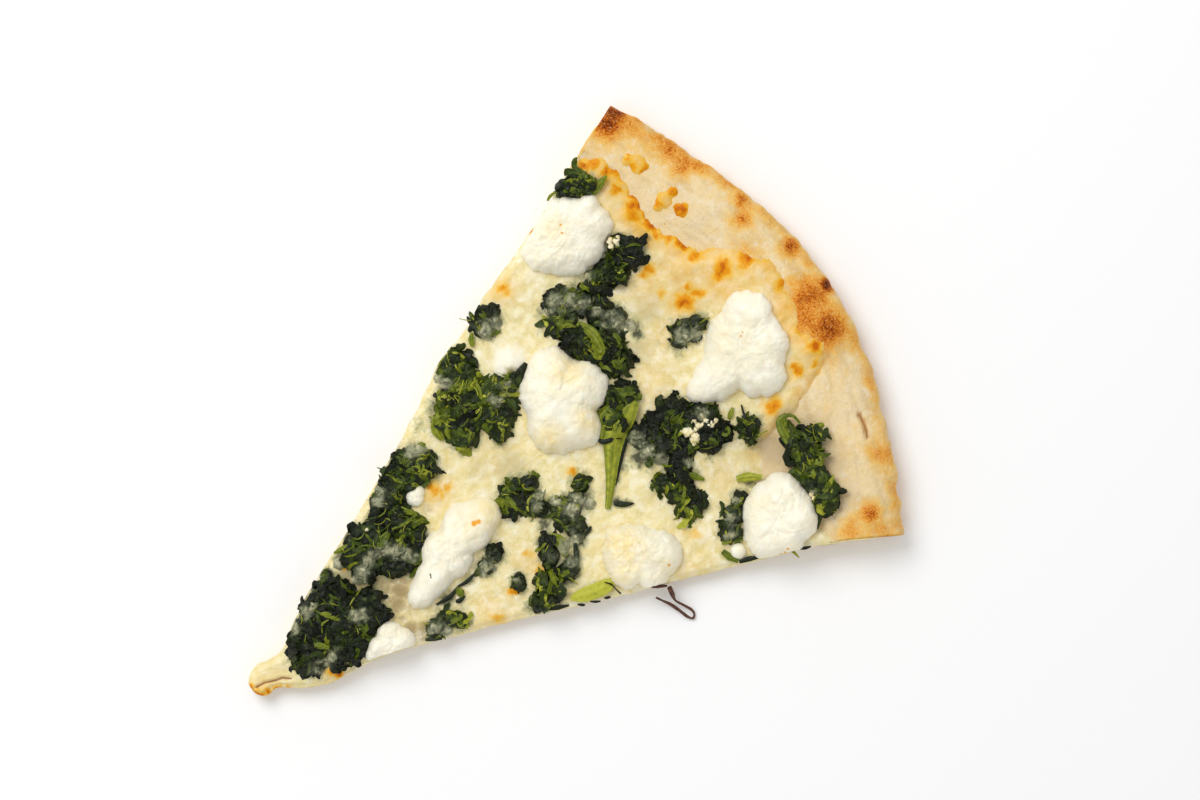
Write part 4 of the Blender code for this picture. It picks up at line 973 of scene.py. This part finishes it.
def make_cheese():
    """The melted cheese: a fine sheet over the dough, turned down over the cuts."""
    columns, rows = CHEESE_GRID
    shares = np.linspace(0, 1, rows)
    ends = rim_x(shares) - CHEESE_END
    x = (NOSE_X + 0.3) + np.linspace(0, 1, columns)[:, None] * (ends - NOSE_X)
    y = across(x, shares)
    x, y = x.ravel(), y.ravel()
    top = cheese_surface(x, y)
    points = [np.stack([x, y, top], 1)]
    border = border_of(columns, rows)
    outward = np.sign(y[border]) * (from_cut(x[border], y[border]) < 0.5)
    dough = dough_surface(x[border], y[border])
    loops = [border]
    count = len(x)
    for level, out in CHEESE_TURN:
        bulge = out * (1 + 0.8 * ripple(x[border], y[border], 3, 31 + level))
        z = dough + (top[border] - dough) * level - 0.1
        points.append(np.stack([x[border], y[border] + outward * bulge, z], 1))
        loops.append(np.arange(count, count + len(border)))
        count += len(border)
    faces = [quads(columns, rows), skirt(loops)]
    points = np.concatenate(points)
    px, py = points[:, 0], points[:, 1]
    heaps = [(lx, ly, radius + 1.8, 0.85) for _, _, _, lobes in SPINACH for lx, ly, radius in lobes]
    wider = [(spot_x, spot_y, radius * SPOT_REACH, share) for spot_x, spot_y, radius, share in CHEESE_SPOTS]
    inset = cheese_inset(px, py)
    border_gold = smoothstep(11, 1, inset) * smoothstep(-40, -22, py) * (0.85 + 0.3 * ripple(px, py, 8, 32))
    patchy = smoothstep(-0.3, 0.3, ripple(px, py, 9, 33))
    lip = 0.45 * smoothstep(2.2, 0.3, inset) * patchy * smoothstep(-30, -20, py)
    marks = {
        "browned": np.maximum(spots(*warped(px, py, SPOT_WARP, 2.8, 34), wider), lip),
        "gold": np.maximum(spots(px, py, CHEESE_GOLD), border_gold),
        "veiled": np.maximum(spots(px, py, VEILED_SPINACH), spots(px, py, heaps)),
        "wet": spots(px, py, WET_DOUGH),
        "white": spots(px, py, CHEESE_WHITE),
        "dull": spots(px, py, CHEESE_DULL),
        "fold": smoothstep(0.55, 0.1, distance_to_way(px, py, TIP_FOLD)),
    }
    cheese = mesh_piece("melted_cheese", points, faces, cheese_finish(), marks)
    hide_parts("cheese")


def lobe_reach(centre, lobes, turns, ragged, seed):
    """How far a heap goes out in each direction: smoothed, then also ragged, then also stopped at a cut."""
    angles = circle(turns)
    ways = np.stack([np.cos(angles), np.sin(angles)], 1)
    reach = np.zeros(turns)
    for lobe_x, lobe_y, radius in lobes:
        along = (lobe_x - centre[0]) * ways[:, 0] + (lobe_y - centre[1]) * ways[:, 1]
        aside = (lobe_x - centre[0]) ** 2 + (lobe_y - centre[1]) ** 2 - along**2
        half_chord = np.sqrt(np.maximum(radius**2 - aside, 0))
        reach = np.maximum(reach, np.where(aside < radius**2, along + half_chord, 0))
    wide = max(turns // 40, 1)
    kernel = np.hanning(2 * wide + 3)
    kernel /= kernel.sum()
    even = np.convolve(np.tile(reach, 3), kernel, "same")[turns : 2 * turns]
    edge_x, edge_y = centre[0] + ways[:, 0] * even, centre[1] + ways[:, 1] * even
    reach = even * (1 + ragged * ripple(edge_x, edge_y, 3.0, seed, 3))
    free = reach.copy()
    for _ in range(60):
        outside = from_cut(centre[0] + ways[:, 0] * free, centre[1] + ways[:, 1] * free) < 0.1
        free = np.where(outside, free * 0.985, free)
    return ways, even, reach, free


def lobe_swell(x, y, lobes):
    """Share of a heap's height, from its lobes."""
    left = np.ones_like(x)
    for lobe_x, lobe_y, radius in lobes:
        left = left * np.clip(((x - lobe_x) ** 2 + (y - lobe_y) ** 2) / radius**2, 0, 1)
    return np.sqrt(1 - left)


def mound(centre, lobes, turns, rings, ragged, seed, height_at, sink):
    """Points and faces of a closed mound: rings from its middle to its edge, then a foot in the cheese."""
    ways, even, full, free = lobe_reach(centre, lobes, turns, ragged, seed)
    levels = np.sin(np.linspace(0.03, 1, rings) * math.pi / 2)[:, None]
    x = centre[0] + ways[None, :, 0] * free * levels
    y = centre[1] + ways[None, :, 1] * free * levels
    whole = even + (full - even) * levels**4
    z = height_at(x, y, np.minimum(free * levels / whole, 1))
    foot_x = centre[0] + ways[:, 0] * free * 0.96
    foot_y = centre[1] + ways[:, 1] * free * 0.96
    foot_z = dough_form(foot_x, foot_y) + sink
    x, y, z = np.vstack([x, foot_x]), np.vstack([y, foot_y]), np.vstack([z, foot_z])
    middle = (centre[0], centre[1], float(z[0].mean()))
    under = (centre[0], centre[1], float(foot_z.mean()))
    points = np.vstack([np.stack([x, y, z], -1).reshape(-1, 3), middle, under])
    count, first = (rings + 1) * turns, np.arange(turns)
    cap, base = fan(count, first), fan(count + 1, first + rings * turns, turned=True)
    return points, [quads(rings + 1, turns, ring=True), cap, base]


def flecks(points, places):
    """Share of small flecks on a mound, which keep their size on steep sides; a place is x, y, radius."""
    found = np.zeros(len(points))
    for place_x, place_y, radius in places:
        aside = np.hypot(points[:, 0] - place_x, points[:, 1] - place_y)
        if aside.min() < radius:
            upward = points[:, 2] - points[aside.argmin(), 2]
            found = np.maximum(found, np.exp(-(aside**2 + upward**2) / radius**2))
    return found


def make_ricotta(finish):
    for number, (centre, height, lobes) in enumerate(RICOTTA, 1):
        small = len(lobes) == 1

        def height_at(x, y, spread):
            dome = np.clip(1 - spread**3.2, 0, 1) ** 0.5
            form = (height + 0.6) * dome * (0.7 + 0.3 * lobe_swell(x, y, lobes))
            lumps = 0.7 * ripple(x, y, 6, 40 + number) + 0.4 * ripple(x, y, 2.4, 50 + number)
            curds = 0.14 * ripple(x, y, 1.0, 55 + number)
            cracks = -0.22 * smoothstep(0.07, 0.0, np.abs(ripple(x, y, 9, 60 + number)))
            folds = 0.08 * (1 - 2 * np.abs(ripple(x, y, 4.5, 65 + number)))
            uneven = (lumps + curds + cracks + folds) * (0.5 if small else 1.0)
            return dough_form(x, y) + CHEESE_LEVEL + form + uneven * dome

        grid = SMALL_DOLLOP_GRID if small else DOLLOP_GRID
        points, faces = mound(centre, lobes, *grid, 0.055, 70 + number, height_at, 1.6)
        marks = {
            "yellow": spots(points[:, 0], points[:, 1], RICOTTA_YELLOW),
            "speck": flecks(points, RICOTTA_SPECKS),
            "fleck": flecks(points, RICOTTA_FLECK),
        }
        dollop = mesh_piece(f"ricotta_dollop_{number}", points, faces, finish, marks)
        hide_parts(f"ricotta_{number}")


def ribbon(way, draw, grid, thickness, crease, roll, ruffle, torn=0.0):
    """A closed leaf or stem along a way of (x, y, half width, z): its points, its faces, and its ribs' tones.

    crease folds it along its middle, roll tilts it, ruffle waves its edges, torn makes them uneven.
    """
    along, columns = grid
    x, y, half, z = along_way(way, along)
    half = np.maximum(half, THINNEST_RIBBON)
    forward = np.stack([np.gradient(x), np.gradient(y)], 1)
    forward /= np.linalg.norm(forward, axis=1)[:, None]
    side = np.stack([-forward[:, 1], forward[:, 0]], 1)
    s = np.linspace(-1, 1, columns)
    width = half[:, None] * s * (1 - torn * draw.uniform(0, 1, (along, columns)))
    px = x[:, None] + side[:, :1] * width * math.cos(roll)
    py = y[:, None] + side[:, 1:] * width * math.cos(roll)
    waves = np.sin(np.linspace(0, 1, along)[:, None] * draw.uniform(7, 16) + s * 2 + draw.uniform(0, 6.3))
    top = z[:, None] - np.abs(width) * crease + width * math.sin(roll) + ruffle * waves * np.abs(width)
    upper = np.stack([px, py, top + thickness / 2], -1).reshape(-1, 3)
    lower = np.stack([px, py, top - thickness / 2], -1).reshape(-1, 3)
    size = len(upper)
    border = border_of(along, columns)
    loops = np.append(border, border[0])
    wall = np.stack([loops[:-1], loops[1:], loops[1:] + size, loops[:-1] + size], 1)
    faces = [quads(along, columns), quads(along, columns, size)[:, ::-1], wall]
    ribs = np.broadcast_to(np.sin(s * 8 + draw.uniform(0, 6.3)), (along, columns)).ravel()
    return np.vstack([upper, lower]), faces, np.tile(ribs, 2)


def laid(way):
    """A way of (x, y, half width, lift) with its lift over the cheese made a height."""
    return [(x, y, half, dough_at(x, y) + CHEESE_LEVEL + lift) for x, y, half, lift in way]


def leaf_bit(x, y, kind, size, lobes, height, draw):
    """A chopped leaf of a kind and a size, draped over a heap around a point; also its points' tone."""
    _, lengths, halves, tone, spread, most_lift = kind
    heading = draw.uniform(0, 2 * math.pi)
    length, half = size * draw.uniform(*lengths), size * draw.uniform(*halves)
    turn, lift = draw.uniform(-1.2, 1.2), draw.uniform(0.0, most_lift)
    way = []
    for share in LEAF_STATIONS:
        bend = heading + turn * share
        leaf_x, leaf_y = x + math.cos(bend) * length * share, y + math.sin(bend) * length * share
        width = half * (1 - (1.85 * share) ** 4) * draw.uniform(0.7, 1.1)
        arch = lift * (1 - 4 * share * share) + draw.uniform(-0.1, 0.3)
        way.append((leaf_x, leaf_y, width, pile_at(leaf_x, leaf_y, lobes, height) + arch))
    roll, crease = draw.uniform(-0.6, 0.6), draw.uniform(-0.4, 0.8)
    points, faces, ribs = ribbon(way, draw, LEAF_GRID, LEAF_THICKNESS, crease, roll, LEAF_RUFFLE, LEAF_TORN)
    return points, faces, np.clip(draw.normal(tone, spread) + 0.05 * ribs, 0, 1)


def add(parts, points, faces, tone):
    """Adds a shape to a list of shapes that become one mesh, with the tone of each point."""
    start = sum(len(part[0]) for part in parts)
    parts.append((points, [face + start for face in faces], np.broadcast_to(tone, len(points))))


def joined_piece(name, parts, finish, crease_angle=180, mark="tone", films=()):
    """One mesh of the shapes in a list, with their tones as a mark for its material, clouded at its films."""
    points = np.vstack([part[0] for part in parts])
    faces = [face for part in parts for face in part[1]]
    marks = {mark: np.concatenate([part[2] for part in parts])}
    if films:
        marks["film"] = spots(*warped(points[:, 0], points[:, 1], FILM_WARP, 3.2, 84), films)
    return mesh_piece(name, points, faces, finish, marks, crease_angle)


def mound_grid(centre, lobes):
    """How many steps round and out a mound needs for its size."""
    reach = max(math.hypot(x - centre[0], y - centre[1]) + radius for x, y, radius in lobes)
    return int(np.clip(reach * 9, 40, 200)), int(np.clip(reach * 2.8, 10, 50))


def pile_top(x, y, lobes, height):
    """Height of a heap of spinach: lobed, and crumpled into sharp ridges."""
    swell = lobe_swell(x, y, lobes)
    ridges = 1 - 2 * np.abs(ripple(x, y, 3.2, 80, 2))
    small = 1 - 2 * np.abs(ripple(x, y, 1.4, 81, 2))
    form = (height * PILE_SHARE + 0.55 * ridges + 0.28 * small) * np.clip(swell * 1.3, 0, 1)
    return dough_form(x, y) + CHEESE_LEVEL + form


def pile_at(x, y, lobes, height):
    """Height of a heap of spinach at one point."""
    return float(pile_top(np.array(x, float), np.array(y, float), lobes, height))


def make_heap(index, centre, height, count, lobes, finish):
    """One heap: a crumpled core, leaf pieces strewn over it, and its stems."""
    draw = np.random.default_rng(SEED + index)
    parts = []

    def height_at(x, y, spread):
        return pile_top(x, y, lobes, height)

    core, faces = mound(centre, lobes, *mound_grid(centre, lobes), 0.2, 90 + index, height_at, 1.6)
    ridge = np.clip(0.5 + 0.6 * ripple(core[:, 0], core[:, 1], 2.2, 82, 3), 0, 1)
    add(parts, core, faces, 0.3 * ridge**2 + HEAP_TONES[index])
    shares = np.array([kind[0] for kind in LEAF_KINDS])
    sizes = np.array([lobe[2] ** 2 for lobe in lobes])
    for _ in range(round(count * LEAVES_PER_COUNT)):
        lobe_x, lobe_y, radius = lobes[draw.choice(len(lobes), p=sizes / sizes.sum())]
        spread, angle = radius * math.sqrt(draw.uniform(0, 1)) * 1.08, draw.uniform(0, 2 * math.pi)
        x, y = lobe_x + spread * math.cos(angle), lobe_y + spread * math.sin(angle)
        kind = LEAF_KINDS[draw.choice(len(LEAF_KINDS), p=shares / shares.sum())]
        if from_cut(x, y) < 0.5:
            continue
        size = min(1.0, radius / ROOM_FOR_LEAF)
        bit, bit_faces, tones = leaf_bit(x, y, kind, size, lobes, height, draw)
        patch = PATCH_TONES * float(ripple(np.array(x), np.array(y), PATCH_SIZE, 83))
        add(parts, bit, bit_faces, np.clip(tones + patch + HEAP_TONES[index], 0, 1))
    for heap, tone, way in STEMS:
        if heap == index:
            stem, stem_faces, ribs = ribbon(laid(way), draw, *STEM_RIBBON)
            add(parts, stem, stem_faces, np.clip(tone + 0.09 * ribs, 0, 1))
    name = f"spinach_{index + 1:02d}"
    films = [(x, y, radius * FILM_REACH) for heap, x, y, radius in FILMS if heap == index]
    films += [cloud for heap, *cloud in CLOUDS if heap == index]
    pile = joined_piece(f"{name}_leaves", parts, finish, LEAF_CREASE_ANGLE, films=films)
    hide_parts(name)


def make_spinach():
    finish = spinach_finish()
    for index, (centre, height, count, lobes) in enumerate(SPINACH):
        make_heap(index, centre, height, count, lobes, finish)


def make_crumbs(finish):
    """Crumbs of ricotta that lie on the spinach, as one mesh of small lumpy balls."""
    turns, rings = CRUMB_GRID
    around, upward = circle(turns), np.linspace(-0.48, 0.48, rings)[:, None] * math.pi
    wide = np.cos(upward)
    ball = np.stack([wide * np.cos(around), wide * np.sin(around), np.sin(upward) + 0 * around], -1)
    count, first = rings * turns, np.arange(turns)
    ends = [fan(count, first, turned=True), fan(count + 1, first + count - turns)]
    parts = []
    for index, x, y, radius in CRUMBS:
        _, height, _, lobes = SPINACH[index]
        lumps = 1 + 0.6 * ripple(ball[..., 0] + x, ball[..., 1] + y + ball[..., 2], 0.9, 120)
        shape = ball * lumps[..., None] * (radius, radius * 0.8, radius * 0.5)
        place = np.array((x, y, pile_at(x, y, lobes, height) + 0.25 * radius))
        low, high = place + shape[0].mean(0), place + shape[-1].mean(0)
        points = np.vstack([(shape + place).reshape(-1, 3), low, high])
        add(parts, points, [quads(rings, turns, ring=True)[:, ::-1], *ends], CRUMB_YELLOW)
    crumbs = joined_piece("ricotta_crumbs", parts, finish, mark="yellow")


def make_films(finish):
    """Thin melted cheese over the heaps of spinach, through which their ridges rise, as one mesh."""
    parts = []
    for number, (index, x, y, radius) in enumerate(FILMS):
        _, height, _, lobes = SPINACH[index]

        def height_at(film_x, film_y, spread):
            swell = lobe_swell(film_x, film_y, lobes)
            under = dough_form(film_x, film_y) + CHEESE_LEVEL + height * PILE_SHARE * swell
            lumps = 0.5 * ripple(film_x, film_y, 2.6, 130) + 0.2 * ripple(film_x, film_y, 1.1, 131)
            return under + 1.1 * (1 - spread**2) - 0.1 + lumps

        points, faces = mound((x, y), ((x, y, radius),), *FILM_GRID, 0.45, 140 + number, height_at, 1.8)
        add(parts, points, faces, 0.0)
    films = joined_piece("cheese_film", parts, finish)


def make_pale_leaf(finish):
    draw = np.random.default_rng(SEED)
    parts = []
    points, faces, ribs = ribbon(laid(PALE_LEAF), draw, *PALE_RIBBON)
    add(parts, points, faces, PALE_TONE + 0.05 * ribs)
    for way in DARK_BITS:
        points, faces, ribs = ribbon(laid(way), draw, *BIT_RIBBON)
        add(parts, points, faces, DARK_TONE + 0.05 * ribs)
    leaf = joined_piece("pale_leaf_blade", parts, finish, LEAF_CREASE_ANGLE)
    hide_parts("pale_leaf")


def tube(way, seed):
    """Points and faces of a closed, slightly knotted tube along a way of (x, y, z, radius)."""
    along, turns = TUBE_GRID
    *line, radius = along_way(way, along)
    line = np.stack(line, 1)
    forward = np.gradient(line, axis=0)
    forward /= np.linalg.norm(forward, axis=1)[:, None]
    side = np.cross(forward, (0, 0, 1))
    side /= np.linalg.norm(side, axis=1)[:, None]
    up = np.cross(side, forward)
    angles = circle(turns)
    fine = np.linspace(0, 1, along)
    radius = radius * (1 + 0.25 * ripple(fine * 40, 0 * fine, 2.5, seed))
    ring = np.cos(angles)[None, :, None] * side[:, None] + np.sin(angles)[None, :, None] * up[:, None]
    points = (line[:, None] + ring * radius[:, None, None]).reshape(-1, 3)
    points = np.vstack([points, line[0], line[-1]])
    count, first = along * turns, np.arange(turns)
    near_end, far_end = fan(count, first), fan(count + 1, first + count - turns, turned=True)
    return points, [quads(along, turns, ring=True), near_end, far_end]


def make_strand():
    """The dried stem that hangs out of the slice in a loop, with its piece that lies on the cut."""
    parts = []
    for seed, way in enumerate((STRAND, STRAND_ON_CUT)):
        add(parts, *tube(way, 150 + seed), 0.0)
    strand = joined_piece("dried_strand_stem", parts, strand_finish())
    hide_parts("dried_strand")


def make_floor():
    bpy.ops.mesh.primitive_plane_add(size=FLOOR_SIZE)
    floor = bpy.context.object
    floor.name = "floor"
    s = Shader("white_floor")
    floor.data.materials.append(s.finish(colour(252, 252, 252), 0.9))
    floor.location.z = -FLOOR_DROP


def make_lights():
    world = bpy.data.worlds.new("studio")
    bpy.context.scene.world = world
    world.use_nodes = True
    sky = world.node_tree.nodes["Background"]
    sky.inputs["Color"].default_value = (1, 1, 1, 1)
    sky.inputs["Strength"].default_value = SKY_STRENGTH
    light = bpy.data.lights.new("softbox", "AREA")
    light.shape = "DISK"
    light.size = LAMP_SIZE
    light.energy = LAMP_POWER
    lamp = bpy.data.objects.new("softbox", light)
    bpy.context.scene.collection.objects.link(lamp)
    turn = math.radians(VIEW_TURN)
    right, up = Vector((math.cos(turn), -math.sin(turn), 0)), Vector((math.sin(turn), math.cos(turn), 0))
    lamp.location = LAMP_PLACE[0] * right + LAMP_PLACE[1] * up + Vector((0, 0, LAMP_PLACE[2]))
    lamp.rotation_euler = (-lamp.location).to_track_quat("-Z", "Y").to_euler()


def make_camera():
    """Looks straight down, turned so that the slice lies as in the photograph."""
    camera = bpy.data.cameras.new("camera")
    camera.sensor_width = SENSOR
    camera.lens = SENSOR * CAMERA_DISTANCE / VIEW_WIDTH
    camera.clip_end = CAMERA_REACH
    holder = bpy.data.objects.new("camera", camera)
    bpy.context.scene.collection.objects.link(holder)
    turn = math.radians(VIEW_TURN)
    height = SLICE_MIDDLE_HEIGHT + CAMERA_DISTANCE
    place = Vector((VIEW_MIDDLE[0] - TIP_TO_ORIGIN, VIEW_MIDDLE[1], height)) * MM
    holder.matrix_world = Matrix.Translation(place) @ Matrix.Rotation(-turn, 4, "Z")
    bpy.context.scene.camera = holder


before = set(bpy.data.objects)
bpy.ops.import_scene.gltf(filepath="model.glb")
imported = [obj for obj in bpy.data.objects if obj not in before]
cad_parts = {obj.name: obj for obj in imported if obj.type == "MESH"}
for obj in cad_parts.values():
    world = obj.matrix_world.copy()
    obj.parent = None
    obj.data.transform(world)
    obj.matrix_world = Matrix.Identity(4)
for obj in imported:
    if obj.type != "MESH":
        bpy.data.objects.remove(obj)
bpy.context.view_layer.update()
bpy.context.scene.view_settings.view_transform = "Standard"
make_camera()
make_lights()
make_floor()
make_crust()
make_cheese()
curd = ricotta_finish()
make_ricotta(curd)
make_spinach()
make_crumbs(curd)
make_films(film_finish())
make_pale_leaf(spinach_finish("pale_leaf_blade"))
make_strand()
